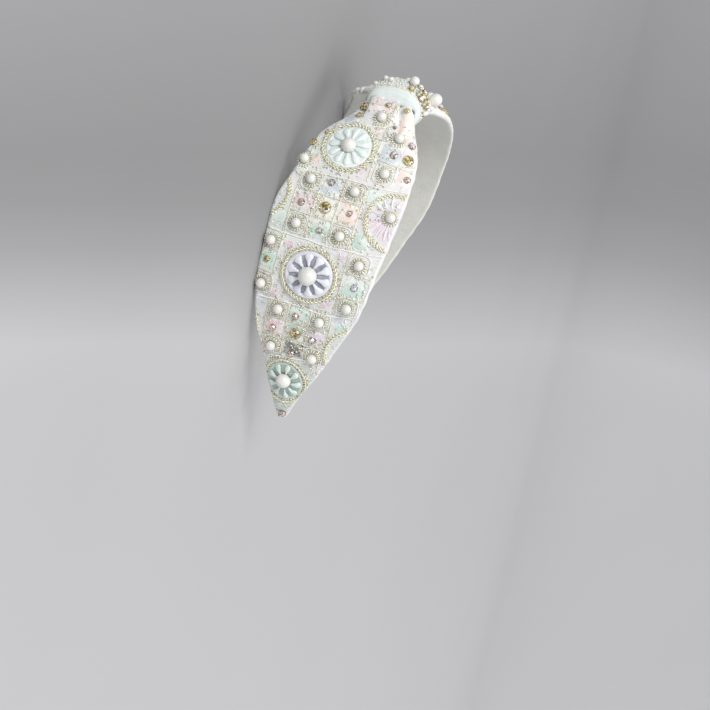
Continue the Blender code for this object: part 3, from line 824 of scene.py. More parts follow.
# %% Satin stitch
SILKS = {
    "mint": (0.56, 0.78, 0.68), "pale_mint": (0.72, 0.85, 0.79), "pink": (0.86, 0.64, 0.70),
    "pale_pink": (0.90, 0.78, 0.83), "grey_blue": (0.54, 0.62, 0.68), "peach": (0.90, 0.70, 0.62),
    "lilac": (0.80, 0.68, 0.82), "pale_lilac": (0.85, 0.83, 0.89), "grey": (0.06, 0.08, 0.08),
    "sage": (0.50, 0.66, 0.57), "white": (0.90, 0.90, 0.87), "ivory": (0.88, 0.87, 0.78),
}
SATIN_RAISE, SATIN_SINK, SATIN_UNDER = 0.30 * MM, 0.06 * MM, 0.25 * MM
SATIN_MARGIN = 0.8 * MM
THREADS_PER_SQUARE, FEWEST_THREADS, FACES_ALONG = 11, 6, 8
WORN_PACE = 2.3
FADE, GREY_FADE = 0.85, 0.35
SATIN_CELLS = [
    # row, column, half length, half width in squares, colour, threads run across
    (-4.03, -0.16, 0.44, 0.46, "grey_blue", True), (-3.02, -1.13, 0.40, 0.44, "pink", False),
    (-3.08, 0.93, 0.46, 0.44, "peach", False), (-2.04, -0.10, 0.42, 0.46, "mint", True),
    (-3.03, -0.12, 0.44, 0.44, "ivory", True), (1.98, -0.02, 0.38, 0.46, "mint", True),
    (2.97, -0.93, 0.42, 0.44, "pink", False), (2.98, 0.93, 0.42, 0.40, "lilac", False),
    (3.86, 0.08, 0.40, 0.44, "grey", True), (2.95, 0.05, 0.42, 0.42, "sage", True),
    (-0.11, -1.95, 0.44, 0.40, "mint", False), (-0.05, 2.08, 0.44, 0.46, "mint", False),
    (-4.55, -1.80, 0.34, 0.40, "pale_mint", True), (-4.15, 1.80, 0.36, 0.42, "pale_mint", True),
    (-2.10, -2.02, 0.30, 0.42, "pale_mint", True), (-2.08, 1.82, 0.34, 0.42, "sage", True),
    (1.72, -2.12, 0.32, 0.38, "grey_blue", True), (1.80, 1.62, 0.34, 0.44, "grey_blue", True),
    (-6.20, 1.75, 0.46, 0.46, "grey_blue", False), (-6.75, 2.55, 0.62, 0.36, "pink", False),
    (-5.42, 2.76, 0.42, 0.40, "peach", False), (-5.75, -1.90, 0.44, 0.30, "grey_blue", False),
    (-8.42, 0.62, 0.40, 0.46, "pink", True), (-7.55, -0.46, 0.36, 0.34, "grey_blue", True),
    (-7.95, 1.95, 0.62, 0.38, "peach", False), (-6.95, -0.85, 0.30, 0.30, "grey_blue", True),
    (0.10, 2.92, 0.60, 0.24, "peach", False), (1.15, 2.70, 0.34, 0.30, "pale_pink", False),
    (6.92, 0.40, 0.34, 0.60, "pale_mint", True), (7.55, -0.10, 0.30, 0.50, "sage", True),
    (4.25, -1.16, 0.20, 0.26, "peach", True), (2.20, 2.05, 0.30, 0.34, "mint", True),
]


def satin_material():
    material = new_material("satin_stitch", Roughness=0.42, Sheen_Weight=0.4, Sheen_Roughness=0.3,
                            Specular_Ior_Level=0.45, Anisotropic=0.5)
    stitch = add_node(material, "UVMap", uv_map="stitch").outputs["UV"]
    tint = add_node(material, "Attribute", attribute_name="tint").outputs["Color"]
    strand = add_node(material, "Mapping", {"Vector": stitch, "Scale": (300.0, 3600.0, 1.0)})
    streaks = add_node(material, "TexNoise", {"Vector": strand.outputs["Vector"], "Scale": 1.0,
                                              "Detail": 3.0}).outputs["Fac"]
    light = add_node(material, "MapRange", {"Value": streaks, "From Min": 0.30, "From Max": 0.70})
    colour = mix_colours(material, light.outputs["Result"], tint, (0.93, 0.93, 0.90))
    softened = mix_colours(material, 0.68, colour, tint)
    to_shader(material, Base_Color=softened, Normal=bump(material, streaks, 0.6, 0.10 * MM))
    return material


def add_satin(bm, cell, side, seed):
    row, column, half_length, half_width, colour, across = cell
    stitch, tint = bm.loops.layers.uv["stitch"], bm.verts.layers.float_color["tint"]
    before = len(bm.verts)
    patch = bmesh.new()
    ribs = max(int(2 * THREADS_PER_SQUARE * (half_length if across else half_width)), FEWEST_THREADS)
    bmesh.ops.create_grid(patch, x_segments=2 * ribs, y_segments=FACES_ALONG, size=1.0)
    bmesh.ops.solidify(patch, geom=patch.faces[:], thickness=1.0)
    pour_into(bm, patch)
    shade = 0.94 + 0.10 * random.Random(seed).random()
    fade = GREY_FADE if colour == "grey" else FADE
    bm.verts.ensure_lookup_table()
    for vert in bm.verts[before:]:
        rib, run, under = vert.co.x, vert.co.y, abs(vert.co.z) > 0.5
        end_noise = noise.noise(Vector((rib * ribs * 0.8, seed, math.copysign(1, run))))
        ragged = 1 + 0.30 * end_noise * abs(run) ** 4
        first, second = (rib, run * ragged) if across else (run * ragged, rib)
        crown = (1 - abs(rib) ** 6) * (1 - abs(run) ** 5)
        ridge = 0.5 + 0.5 * math.cos(rib * ribs * math.pi)
        height = -SATIN_UNDER if under else SATIN_RAISE * crown * (0.75 + 0.25 * ridge) - SATIN_SINK
        at_row, at_column = row + first * half_length, column + second * half_width
        length, sideways = from_squares(at_row, at_column, side)
        half, middle = station(length)[2:4]
        limit = half - SATIN_MARGIN
        sideways = min(max(sideways, middle - limit), middle + limit)
        vert.co = place(length, sideways, height)
        worn = smooth(2.4 * noise.noise(Vector((at_row * WORN_PACE, at_column * WORN_PACE, seed))) + 0.36)
        worn = max(worn, abs(run) ** 5, abs(rib) ** 9)
        vert[tint] = (*(Vector(SILKS[colour]).lerp(Vector(SILKS["white"]), fade * worn) * shade), 1.0)
        for loop in vert.link_loops:
            loop[stitch].uv = (run * half_width * SQUARE, rib * half_length * SQUARE)


satin = satin_material()
for side_name, side in SIDES.items():
    patches = bmesh.new()
    patches.loops.layers.uv.new("stitch")
    patches.verts.layers.float_color.new("tint")
    for seed, cell in enumerate(SATIN_CELLS):
        add_satin(patches, cell, side, seed + (100 if side < 0 else 0))
    piece = finish_piece(side_name + "_satin_patches", patches, satin)
    print(piece.name, triangles(piece), "triangles")

# %% [markdown]
# The squares are parted by couched threads. Raised white cords run across the band between the blocks, thin
# gilt lines part the small cells, and a soft ivory frame goes round each corner pearl. A line is given by
# places in squares, cut where it would leave the band, and laid on the cloth.

# %% Lay lines on the cloth
def laid(points, side, height, margin=0.5 * MM):
    """Lines of points on the cloth from places in squares, cut at the edges. A third number adds height."""
    runs, run = [], []
    for point in points:
        length, across = from_squares(point[0], point[1], side)
        if inside_band(length, across, margin):
            extra = point[2] if len(point) > 2 else 0.0
            run.append(place(length, across, height + extra))
        elif run:
            runs.append(run)
            run = []
    return [line for line in runs + [run] if len(line) > 1]


def straight(start, end, step=0.09, wander=0.02, seed=0):
    span = math.hypot(end[0] - start[0], end[1] - start[1])
    count = max(int(span / step), 2)
    points = []
    for index in range(count + 1):
        share = index / count
        off = wander * noise.noise(Vector((share * span * 1.4, seed * 7.3, 1.0)))
        points.append((start[0] + (end[0] - start[0]) * share + off,
                       start[1] + (end[1] - start[1]) * share + off))
    return points


def arc(row, column, radius, stretch=1.0, step=0.07):
    count = max(int(radius * 2 * math.pi / step), 6)
    angles = [2 * math.pi * index / count for index in range(count + 1)]
    return [(row + radius * stretch * math.cos(angle), column + radius * math.sin(angle)) for angle in angles]


def frame_line(row, column, half, power=4.0, count=32):
    points = []
    for index in range(count + 1):
        angle = 2 * math.pi * index / count
        reach = (abs(math.cos(angle)) ** power + abs(math.sin(angle)) ** power) ** (-1 / power)
        points.append((row + half * reach * math.cos(angle), column + half * reach * math.sin(angle)))
    return points


# %% Cords, cell lines and frames
CELL_BLOCKS = [
    # row, column, half rows, half columns
    (-3.03, -0.12, 1.5, 1.45), (2.95, 0.05, 1.35, 1.42),
]
ROW_THREADS = [
    # row, column where it starts and ends
    (-0.62, 1.55, 2.95), (0.48, 1.50, 2.80), (-0.62, -2.50, -1.55), (0.42, -2.50, -1.60), (-5.78, 1.30, 3.00),
    (-6.95, 1.30, 3.00), (-5.35, -2.10, -1.50), (-8.30, 0.0, 1.30), (-6.45, -1.90, -1.55),
]
COLUMN_THREADS = [
    # column, row where it starts and ends
    (1.50, -1.75, 1.45), (-1.52, -1.75, 1.45), (1.18, -8.9, -4.7), (-1.58, -6.6, -4.5),
]
BLOCK_MARGIN = 0.04
CORNER_FRAME, SIDE_FRAME = 0.43, 0.46
SIDE_FRAMED = ["side_rear_high", "side_rear_low", "side_front_high", "side_front_low", "shoulder_front"]
SEAM_CORD, CELL_THREAD, FRAME_THREAD = 0.62 * MM, 0.34 * MM, 0.40 * MM


def seam_lines():
    lines = []
    for index, seam in enumerate(SEAMS):
        line = [point for pair in zip(seam, seam[1:]) for point in straight(*pair, seed=index)[:-1]]
        lines.append(line + [seam[-1]])
    return lines


def cell_lines():
    lines = []
    for index, (row, column, half_rows, half_columns) in enumerate(CELL_BLOCKS):
        top, bottom = row - half_rows, row + half_rows
        rear, front = column - half_columns, column + half_columns
        for offset in (-0.5, 0.5):
            lines.append(straight((row + offset, rear), (row + offset, front), seed=index))
            lines.append(straight((top, column + offset), (bottom, column + offset), seed=index + 3))
        for offset in (-half_columns - BLOCK_MARGIN, half_columns + BLOCK_MARGIN):
            lines.append(straight((top, column + offset), (bottom, column + offset), seed=index + 6))
    for row, start, end in ROW_THREADS:
        lines.append(straight((row, start), (row, end), seed=row))
    for column, start, end in COLUMN_THREADS:
        lines.append(straight((start, column), (end, column), seed=column))
    return lines


def frame_lines():
    lines = []
    for name, (row, column) in PEARLS.items():
        if name.startswith(("upper", "lower")):
            lines.append(frame_line(row, column, CORNER_FRAME))
    return lines + [frame_line(*PEARLS[name], SIDE_FRAME) for name in SIDE_FRAMED]


def threads_piece(name, lines, side, thickness, height, material, sides=6, replaces=()):
    laid_lines = [run for line in lines for run in laid(line, side, height)]
    threads = thread_mesh(laid_lines, thickness, sides=sides)
    piece = finish_piece(name, threads, material, replaces)
    print(name, triangles(piece), "triangles")
    return piece


for side_name, side in SIDES.items():
    threads_piece(side_name + "_seam_cords", seam_lines(), side, SEAM_CORD, 0.20 * MM, white_thread, 8)
    threads_piece(side_name + "_cell_threads", cell_lines(), side, CELL_THREAD, 0.30 * MM, pale_gold)
    threads_piece(side_name + "_pearl_frames", frame_lines(), side, FRAME_THREAD, 0.25 * MM, white_thread)

# %% [markdown]
# Each round flower stands in a ring of gilt cord. The cord is two strands twisted together with a looped
# picot thread on both sides, so it looks like a fine braid. Halves of such rings, cut by the edge of the
# band, fill the squares at the sides.

# %% Twisted rings
FLOWERS = {
    # row, column, ring, petals and pearl radius in squares
    "top": (-5.98, -0.10, 1.12, 0.92, 0.33), "middle": (0.01, 0.04, 1.21, 1.00, 0.42),
    "low": (5.72, -0.06, 0.98, 0.80, 0.34),
}
CUT_RINGS = {
    # row, column, radius in squares
    "upper_front": (-3.30, 2.95, 1.27), "upper_rear": (-3.10, -3.20, 1.33),
    "lower_front": (3.50, 3.10, 1.62), "lower_rear": (3.50, -3.30, 1.58),
}
STRETCHES = {"low": (1.36, 0.20)}
STRAND = 0.48 * MM
STRAND_WIND = 0.36 * MM
STRAND_PITCH = 0.34
STRAND_STEP = 0.032
STRETCHED_WIND = 0.55
PICOT_WIRE = 0.26 * MM
PICOT_START, PICOT_REACH, PICOT_SINK = 0.045, 0.06, 0.10 * MM
PICOT_LOOPS, PICOT_STEPS = 40, 6


def ring_of(name):
    """Row, column, radius and stretch of a flower's ring."""
    row, column, ring = FLOWERS[name][:3]
    stretch, drop = STRETCHES.get(name, (1.0, 0.0))
    return row + drop, column, ring, stretch


def twisted(points, phase, wind):
    """One strand of a twist along a line in squares."""
    strand, travelled = [], 0.0
    for index, (row, column) in enumerate(points):
        before, after = points[max(index - 1, 0)], points[min(index + 1, len(points) - 1)]
        along = Vector((after[0] - before[0], after[1] - before[1])).normalized()
        turn = 2 * math.pi * travelled / STRAND_PITCH + phase
        off = wind / SQUARE * math.cos(turn)
        strand.append((row - along.y * off, column + along.x * off, wind * math.sin(turn)))
        travelled += math.hypot(after[0] - row, after[1] - column)
    return strand


def picots(row, column, radius, outward, stretch=1.0):
    """A zigzag of small loops beside a ring."""
    points = []
    for index in range(PICOT_LOOPS * PICOT_STEPS + 1):
        angle = 2 * math.pi * index / (PICOT_LOOPS * PICOT_STEPS)
        swing = abs(math.sin(PICOT_LOOPS * angle / 2)) ** 0.7
        reach = radius + outward * (PICOT_START + PICOT_REACH * swing)
        points.append((row + reach * stretch * math.cos(angle), column + reach * math.sin(angle),
                       -PICOT_SINK))
    return points


def ring_strands(row, column, radius, stretch=1.0):
    round_line = arc(row, column, radius, stretch, step=STRAND_STEP)
    wind = STRAND_WIND * (STRETCHED_WIND if stretch > 1 else 1.0)
    return [twisted(round_line, 0.0, wind), twisted(round_line, math.pi, wind)]


for side_name, side in SIDES.items():
    strands, loops = [], []
    for row, column, ring, stretch in (ring_of(name) for name in FLOWERS):
        strands += ring_strands(row, column, ring, stretch)
        loops += [picots(row, column, ring, way, stretch) for way in (-1, 1)]
    names = [f"{side_name}_{name}_cord" for name in FLOWERS]
    threads_piece(side_name + "_flower_rings", strands, side, STRAND, 0.55 * MM, pale_gold, replaces=names)
    for ring in CUT_RINGS.values():
        loops += [picots(*ring, way) for way in (-1, 1)]
    cut = [strand for ring in CUT_RINGS.values() for strand in ring_strands(*ring)]
    threads_piece(side_name + "_cut_rings", cut, side, STRAND, 0.45 * MM, pale_gold)
    threads_piece(side_name + "_picots", loops, side, PICOT_WIRE, 0.20 * MM, pale_gold, 4)

# %% [markdown]
# The three flowers differ. The middle one has white enamelled petals over a dark seat, the top one is of
# mint glass, and the one near the tip of sea-green glass. A petal starts as a sphere, is drawn out and
# widened towards its tip, and is flattened underneath. Nine to eleven of them go round a thin domed seat.

# %% Petal finishes
def petal_material(name, light, dark, roughness, coat):
    material = new_material(name, Roughness=roughness, Coat_Weight=coat, Coat_Roughness=0.04,
                            Specular_Ior_Level=0.7)
    here = add_node(material, "TexCoord").outputs["Object"]
    colour = mix_colours(material, spots(material, here, 320.0, 0.35, 0.68), light, dark)
    ripple = spots(material, here, 700.0, 0.3, 0.7)
    to_shader(material, Base_Color=colour, Normal=bump(material, ripple, 0.25, 0.15 * MM))
    return material


PETAL_FINISHES = {
    "top": petal_material("mint_glass", (0.88, 0.92, 0.91), (0.76, 0.87, 0.83), 0.12, 0.8),
    "middle": petal_material("white_enamel", (0.90, 0.90, 0.93), (0.76, 0.77, 0.84), 0.14, 0.8),
    "low": petal_material("sea_glass", (0.82, 0.88, 0.85), (0.60, 0.72, 0.66), 0.10, 0.9),
}
SEAT_FINISHES = {
    "top": petal_material("mint_seat", (0.80, 0.88, 0.85), (0.74, 0.84, 0.80), 0.3, 0.3),
    "middle": petal_material("slate_seat", (0.26, 0.29, 0.36), (0.42, 0.45, 0.52), 0.25, 0.5),
    "low": petal_material("green_seat", (0.36, 0.47, 0.41), (0.52, 0.62, 0.56), 0.22, 0.6),
}
RIM_FINISHES = {
    "top": petal_material("mint_rim", (0.86, 0.89, 0.87), (0.80, 0.87, 0.84), 0.6, 0.0),
    "middle": petal_material("lilac_rim", (0.84, 0.84, 0.89), (0.74, 0.75, 0.82), 0.35, 0.3),
    "low": petal_material("pale_green_rim", (0.68, 0.76, 0.71), (0.50, 0.62, 0.56), 0.30, 0.4),
}
PETAL_SHAPES = {
    # petals, inner and outer half width as shares of the flower, height in mm, where it starts to widen
    "top": (11, 0.07, 0.22, 0.95, 0.10), "middle": (10, 0.085, 0.31, 1.25, 0.35),
    "low": (9, 0.07, 0.25, 1.30, 0.30),
}
print(len(PETAL_FINISHES) + len(SEAT_FINISHES), "petal finishes")


# %% Flowers
def add_petal(bm, angle, inner, outer, half_inner, half_outer, high, base, flare):
    made = bmesh.ops.create_uvsphere(bm, u_segments=14, v_segments=9, radius=1.0,
                                     matrix=Matrix.Rotation(math.pi / 2, 4, "Y"))["verts"]
    for vert in made:
        share = (vert.co.x + 1) / 2
        half = half_inner + (half_outer - half_inner) * smooth((share - flare) / (1 - flare) * 1.05)
        reach = inner + (outer - inner) * share
        groove = 0.82 + 0.18 * min(abs(vert.co.y) * 3, 1.0) * (1 - share * 0.5)
        rise = vert.co.z * high * groove * (0.65 + 0.35 * share) if vert.co.z > 0 else vert.co.z * high * 0.25
        vert.co = Vector((reach, vert.co.y * half, base + rise))
    bmesh.ops.rotate(bm, cent=(0, 0, 0), matrix=Matrix.Rotation(angle, 3, "Z"), verts=made)


SEAT_PROFILE = [(0.0, 0.10), (0.5, 0.25), (0.86, 0.30), (0.95, 0.25), (0.95, -0.30), (0.0, -0.30)]
RIM_PROFILE = [(0.88, 0.20), (0.905, 0.52), (0.95, 0.78), (1.00, 0.82), (1.05, 0.66), (1.08, 0.30),
               (1.08, -0.30), (0.88, -0.30), (0.88, 0.20)]
RIM_HEIGHTS = {"top": 0.55, "middle": 1.0, "low": 0.75}
SPIN_STEPS = 72
FIRST_PETAL, PETAL_START, PETAL_END, PETAL_BASE = 0.35, 0.86, 0.99, 0.55 * MM
SEAT_EDGE, RIM_EDGE, BEAD_EDGE = 60, 70, 60
BEAD_CUT, BEAD_BASE = 0.25, 0.9 * MM


def turned(profile, radius, high=1.0):
    """Spins a profile round the middle. Its numbers are shares of the radius and heights in mm."""
    bm = bmesh.new()
    verts = [bm.verts.new((reach * radius, 0, rise * high * MM)) for reach, rise in profile]
    edges = [bm.edges.new(pair) for pair in zip(verts, verts[1:])]
    bmesh.ops.spin(bm, geom=verts + edges, axis=(0, 0, 1), cent=(0, 0, 0), angle=2 * math.pi,
                   steps=SPIN_STEPS, use_merge=True, use_duplicate=False)
    bmesh.ops.remove_doubles(bm, verts=bm.verts, dist=1e-6)
    return bm


def make_flower(name, side_name, side):
    row, column, _, petals, dome = FLOWERS[name]
    count, half_inner, half_outer, high, flare = PETAL_SHAPES[name]
    radius, dome_radius = petals * SQUARE, dome * SQUARE
    blossom = bmesh.new()
    for index in range(count):
        angle = 2 * math.pi * (index + FIRST_PETAL) / count
        add_petal(blossom, angle, dome_radius * PETAL_START, radius * PETAL_END, half_inner * radius,
                  half_outer * radius, high * MM, PETAL_BASE, flare)
    ring_row, _, _, stretch = ring_of(name)
    move = onto_cloth(ring_row, column, side)
    seat, rim = turned(SEAT_PROFILE, radius), turned(RIM_PROFILE, radius, RIM_HEIGHTS[name])
    for part in (blossom, seat, rim):
        for vert in part.verts:
            vert.co = move(Vector((vert.co.x * stretch, vert.co.y, vert.co.z)))
    flower = f"{side_name}_{name}"
    finish_piece(flower + "_flower", blossom, PETAL_FINISHES[name], [flower + "_petals"])
    finish_piece(flower + "_flower_seat", seat, SEAT_FINISHES[name], smooth_angle=SEAT_EDGE)
    finish_piece(flower + "_flower_rim", rim, RIM_FINISHES[name], smooth_angle=RIM_EDGE)
    bead = bmesh.new()
    bmesh.ops.create_uvsphere(bead, u_segments=40, v_segments=24, radius=dome_radius)
    cut = bmesh.ops.bisect_plane(bead, geom=bead.verts[:] + bead.edges[:] + bead.faces[:], dist=1e-7,
                                 plane_co=(0, 0, -dome_radius * BEAD_CUT), plane_no=(0, 0, -1),
                                 clear_outer=True)
    rim_edges = [item for item in cut["geom_cut"] if isinstance(item, bmesh.types.BMEdge)]
    bmesh.ops.contextual_create(bead, geom=rim_edges)
    lifted = Matrix.Translation((0, 0, dome_radius * BEAD_CUT + BEAD_BASE))
    bmesh.ops.transform(bead, matrix=facing(*from_squares(row, column, side)) @ lifted, verts=bead.verts)
    finish_piece("bead_" + flower, bead, pearl, [flower + "_pearl"], BEAD_EDGE)


for side_name, side in SIDES.items():
    for name in FLOWERS:
        make_flower(name, side_name, side)
print(2 * len(FLOWERS), "flowers made")

# %% [markdown]
# Cut stones sit in small gilt cups with claws. The cup and its stone are one mesh with a metal and a foiled
# finish. The stone is a low eight-sided cone, and its sides and its table are poked into small facets. Each
# facet gets a colour drawn at random from a short list for its kind: the stone's own colour, and painted
# reflections, some bright and some nearly black, that stand in for the glints of a foiled stone.

# %% Stones
CUP, GEM, DARK_CUP = 0, 1, 2
CUP_TONE = (0.8, 0.62, 0.28)
# facet colours for each kind: the stone's own colour and painted reflections, bright and nearly black
STONE_COLOURS_AND_PAINTED_GLINTS = {
    "gold": [(0.76, 0.64, 0.24), (0.32, 0.25, 0.07), (0.95, 0.88, 0.58), (0.10, 0.08, 0.03),
             (0.92, 0.85, 0.84)],
    "clear": [(0.92, 0.86, 0.88), (0.40, 0.32, 0.30), (0.96, 0.95, 0.96), (0.14, 0.10, 0.10),
              (0.78, 0.70, 0.78)],
    "pink": [(0.95, 0.78, 0.80), (0.55, 0.34, 0.30), (0.97, 0.93, 0.92), (0.30, 0.16, 0.12),
             (0.90, 0.66, 0.62)],
    "blue": [(0.78, 0.80, 0.95), (0.36, 0.36, 0.62), (0.96, 0.96, 0.99), (0.20, 0.20, 0.40),
             (0.84, 0.80, 0.95)],
}
STONES = [
    # row, column, radius in mm, kind
    (-8.25, -0.16, 2.1, "gold"), (-7.70, -0.20, 1.6, "gold"), (-8.36, 0.83, 1.4, "gold"),
    (-8.48, 1.66, 1.2, "gold"), (-7.47, 1.46, 0.8, "clear"), (-7.05, 2.42, 1.5, "clear"),
    (-6.24, 1.88, 1.6, "clear"), (-6.31, 2.53, 2.2, "gold"), (-5.39, 2.80, 1.4, "pink"),
    (-4.17, -0.23, 1.4, "clear"), (-2.95, -1.19, 1.4, "pink"), (-3.10, 0.96, 1.2, "pink"),
    (-2.01, -0.06, 1.2, "clear"), (2.08, -0.09, 1.4, "pink"),
    (3.03, -1.00, 1.3, "pink"), (3.05, 0.84, 1.5, "clear"), (4.06, 0.07, 1.4, "pink"),
    (-0.11, -1.93, 1.3, "gold"), (-0.07, 2.11, 1.4, "blue"), (8.22, 0.01, 1.7, "clear"),
]
RIGHT_STONES = [(-6.46, -1.24, 0.9, "gold"), (-5.82, -1.66, 1.5, "gold")]
BIG_STONES = {"upper": (-3.03, -0.12, 2.35, "gold"), "lower": (2.95, 0.05, 2.35, "gold")}
CLAWS, CLAW_TURN, CLAW_LEAN = 4, 0.4, -0.22


def gem_material():
    material = new_material("foiled_stone", Metallic=0.55, Roughness=0.06, Coat_Weight=1.0,
                            Coat_Roughness=0.02, Specular_Ior_Level=0.8)
    # the facet attribute holds the stone's colour and painted reflections
    facet_colour_and_painted_glint = add_node(material, "Attribute", attribute_name="facet_colour_and_painted_glint").outputs["Color"]
    here = add_node(material, "TexCoord").outputs["Object"]
    flecks = spots(material, here, 1400.0, 0.42, 0.66)
    colour = mix_colours(material, flecks, facet_colour_and_painted_glint, (0.9, 0.88, 0.86), "OVERLAY")
    ripple = spots(material, here, 900.0, 0.3, 0.7)
    to_shader(material, Base_Color=colour, Normal=bump(material, ripple, 0.1, 0.05 * MM))
    return material


gilt_metal = metal_thread_material("gilt_metal", (0.76, 0.64, 0.26), (0.34, 0.28, 0.11), 0.9, 0.25)
dark_metal = metal_thread_material("dark_gilt_metal", (0.52, 0.43, 0.32), (0.22, 0.17, 0.13), 0.9, 0.3)
gem = gem_material()
STONE_METALS = [gilt_metal, gem, dark_metal]


def add_cone(bm, segments, base, top, depth, matrix):
    bmesh.ops.create_cone(bm, cap_ends=True, segments=segments, radius1=base, radius2=top, depth=depth,
                          matrix=matrix)


def add_stone(bm, radius, kind, seat, seed):
    draw = random.Random(seed)
    stone = bmesh.new()
    paint = stone.loops.layers.float_color.new("facet_colour_and_painted_glint")
    add_cone(stone, 16, radius * 0.72, radius * 0.98, 0.9 * MM, Matrix.Translation((0, 0, 0.35 * MM)))
    for index in range(CLAWS):
        turn = Matrix.Rotation(math.pi / 2 * index + CLAW_TURN, 4, "Z")
        stand = Matrix.Translation((radius * 0.88, 0, 0.75 * MM)) @ Matrix.Rotation(CLAW_LEAN, 4, "Y")
        add_cone(stone, 6, radius * 0.13, radius * 0.10, 1.2 * MM, turn @ stand)
    setting = set(stone.faces)
    add_cone(stone, 8, radius * 0.90, radius * 0.52, 0.62 * MM, Matrix.Translation((0, 0, 1.06 * MM)))
    crown = [face for face in stone.faces if face not in setting]
    table = max(crown, key=lambda face: face.calc_center_median().z)
    bmesh.ops.poke(stone, faces=[face for face in crown if len(face.verts) == 4 or face is table],
                   offset=0.03 * radius)
    for face in stone.faces:
        if face in setting:
            face.material_index = CUP if kind == "gold" else DARK_CUP
            tone = CUP_TONE
        else:
            face.material_index = GEM
            # drawn at random among the stone's colour and its painted reflections
            tone = draw.choice(STONE_COLOURS_AND_PAINTED_GLINTS[kind])
        for loop in face.loops:
            loop[paint] = (*tone, 1.0)
    bmesh.ops.transform(stone, matrix=seat, verts=stone.verts)
    pour_into(bm, stone)


def stone_bmesh():
    bm = bmesh.new()
    bm.loops.layers.float_color.new("facet_colour_and_painted_glint")
    return bm


for side_name, side in SIDES.items():
    for name, (row, column, radius, kind) in BIG_STONES.items():
        bm = stone_bmesh()
        add_stone(bm, radius * MM, kind, facing(*from_squares(row, column, side)), side * 50 + row)
        finish_piece(f"{side_name}_{name}_cut_stone", bm, STONE_METALS,
                     [f"{side_name}_{name}_stone"], FACETED)
    bm = stone_bmesh()
    for index, (row, column, radius, kind) in enumerate(STONES + (RIGHT_STONES if side > 0 else [])):
        add_stone(bm, radius * MM, kind, facing(*from_squares(row, column, side)), index + side * 100)
    piece = finish_piece(side_name + "_small_stones", bm, STONE_METALS, smooth_angle=FACETED)
    print(piece.name, triangles(piece), "triangles")

# %% [markdown]
# What makes the real cloth glitter is a scatter of short stitches and very small glass beads, in gold,
# ivory and olive, thick in the nine-patch blocks and beside the rings, thin on the open strips. They are
# drawn at random with a fixed seed, kept off the flowers, pearls and stones, and most stitches lie along
# the squares as a hand would sew them.

# %% Scattered stitches
SCATTER_FINISHES = {
    "gold": pale_gold,
    "ivory": white_thread,
    "olive": metal_thread_material("olive_thread", (0.62, 0.61, 0.46), (0.36, 0.35, 0.27), 0.3, 0.4),
}
STITCHES_A_SIDE = 1500
STITCH_SHARES = {"gold": 0.34, "ivory": 0.50, "olive": 0.16}
SHORTEST, LONGEST = 0.07, 0.20
SCATTER_THREAD = 0.25 * MM
SCATTER_ROWS, SCATTER_COLUMNS, SCATTER_MARGIN = (-9.2, 8.8), (-2.9, 3.1), 0.9 * MM
RING_KEPT_CLEAR, PEARL_KEPT_CLEAR, STONE_KEPT_CLEAR = 0.10, 0.30, 0.02
OPEN_CHANCE, CHANCE_SWING, CHANCE_PACE, CHANCE_ROW = 0.16, 0.5, 1.3, 4.4
PATCH_HALF, PATCH_CHANCE = 1.5, 0.38
BESIDE_RING, RING_CHANCE = 0.30, 0.35
BESIDE_PEARL, PEARL_CHANCE = 0.62, 0.10


def is_clear(row, column, spare=0.0):
    """True where no flower, pearl or stone stands."""
    for name in FLOWERS:
        at_row, at_column, ring, stretch = ring_of(name)
        if math.hypot((row - at_row) / stretch, column - at_column) < ring + RING_KEPT_CLEAR + spare:
            return False
    for at_row, at_column in PEARLS.values():
        if math.hypot(row - at_row, column - at_column) < PEARL_KEPT_CLEAR + spare:
            return False
    return all(math.hypot(row - at_row, column - at_column) > radius * MM / SQUARE + STONE_KEPT_CLEAR + spare
               for at_row, at_column, radius, _ in (*BIG_STONES.values(), *STONES))


def chance_of_stitch(row, column):
    """High in the nine-patch blocks and beside the rings, low on the open strips."""
    spot = Vector((row * CHANCE_PACE, column * CHANCE_PACE, CHANCE_ROW))
    chance = OPEN_CHANCE + CHANCE_SWING * noise.noise(spot)
    if any(abs(row - at_row) < PATCH_HALF and abs(column - at_column) < PATCH_HALF
           for at_row, at_column, _ in NINE_PATCHES.values()):
        chance += PATCH_CHANCE
    for at_row, at_column, ring in (flower[:3] for flower in FLOWERS.values()):
        if math.hypot(row - at_row, column - at_column) < ring + BESIDE_RING:
            chance += RING_CHANCE
    if any(math.hypot(row - at_row, column - at_column) < BESIDE_PEARL
           for at_row, at_column in PEARLS.values()):
        chance += PEARL_CHANCE
    return chance


def scattered(count, seed):
    """Random clear places in squares, each with a size and an angle."""
    draw = random.Random(seed)
    found = []
    while len(found) < count:
        row, column = draw.uniform(*SCATTER_ROWS), draw.uniform(*SCATTER_COLUMNS)
        wanted = draw.random() < chance_of_stitch(row, column)
        if wanted and inside_band(*from_squares(row, column), SCATTER_MARGIN) and is_clear(row, column):
            size = draw.random()
            found.append((row, column, size, draw.choice((0.0, math.pi / 2, draw.uniform(0, math.pi)))))
    return found


def stitch_lines(count, seed):
    lines = []
    for row, column, size, angle in scattered(count, seed):
        reach = SHORTEST + (LONGEST - SHORTEST) * size
        step = (0.5 * reach * math.cos(angle), 0.5 * reach * math.sin(angle))
        lines.append([(row - step[0], column - step[1], -0.12 * MM), (row, column, 0.10 * MM),
                      (row + step[0], column + step[1], -0.12 * MM)])
    return lines


for side_name, side in SIDES.items():
    for index, (name, share) in enumerate(STITCH_SHARES.items()):
        lines = stitch_lines(int(STITCHES_A_SIDE * share), 11 * index + (2 if side > 0 else 5))
        threads_piece(f"{side_name}_{name}_stitches", lines, side, SCATTER_THREAD, 0.12 * MM,
                      SCATTER_FINISHES[name], 4)

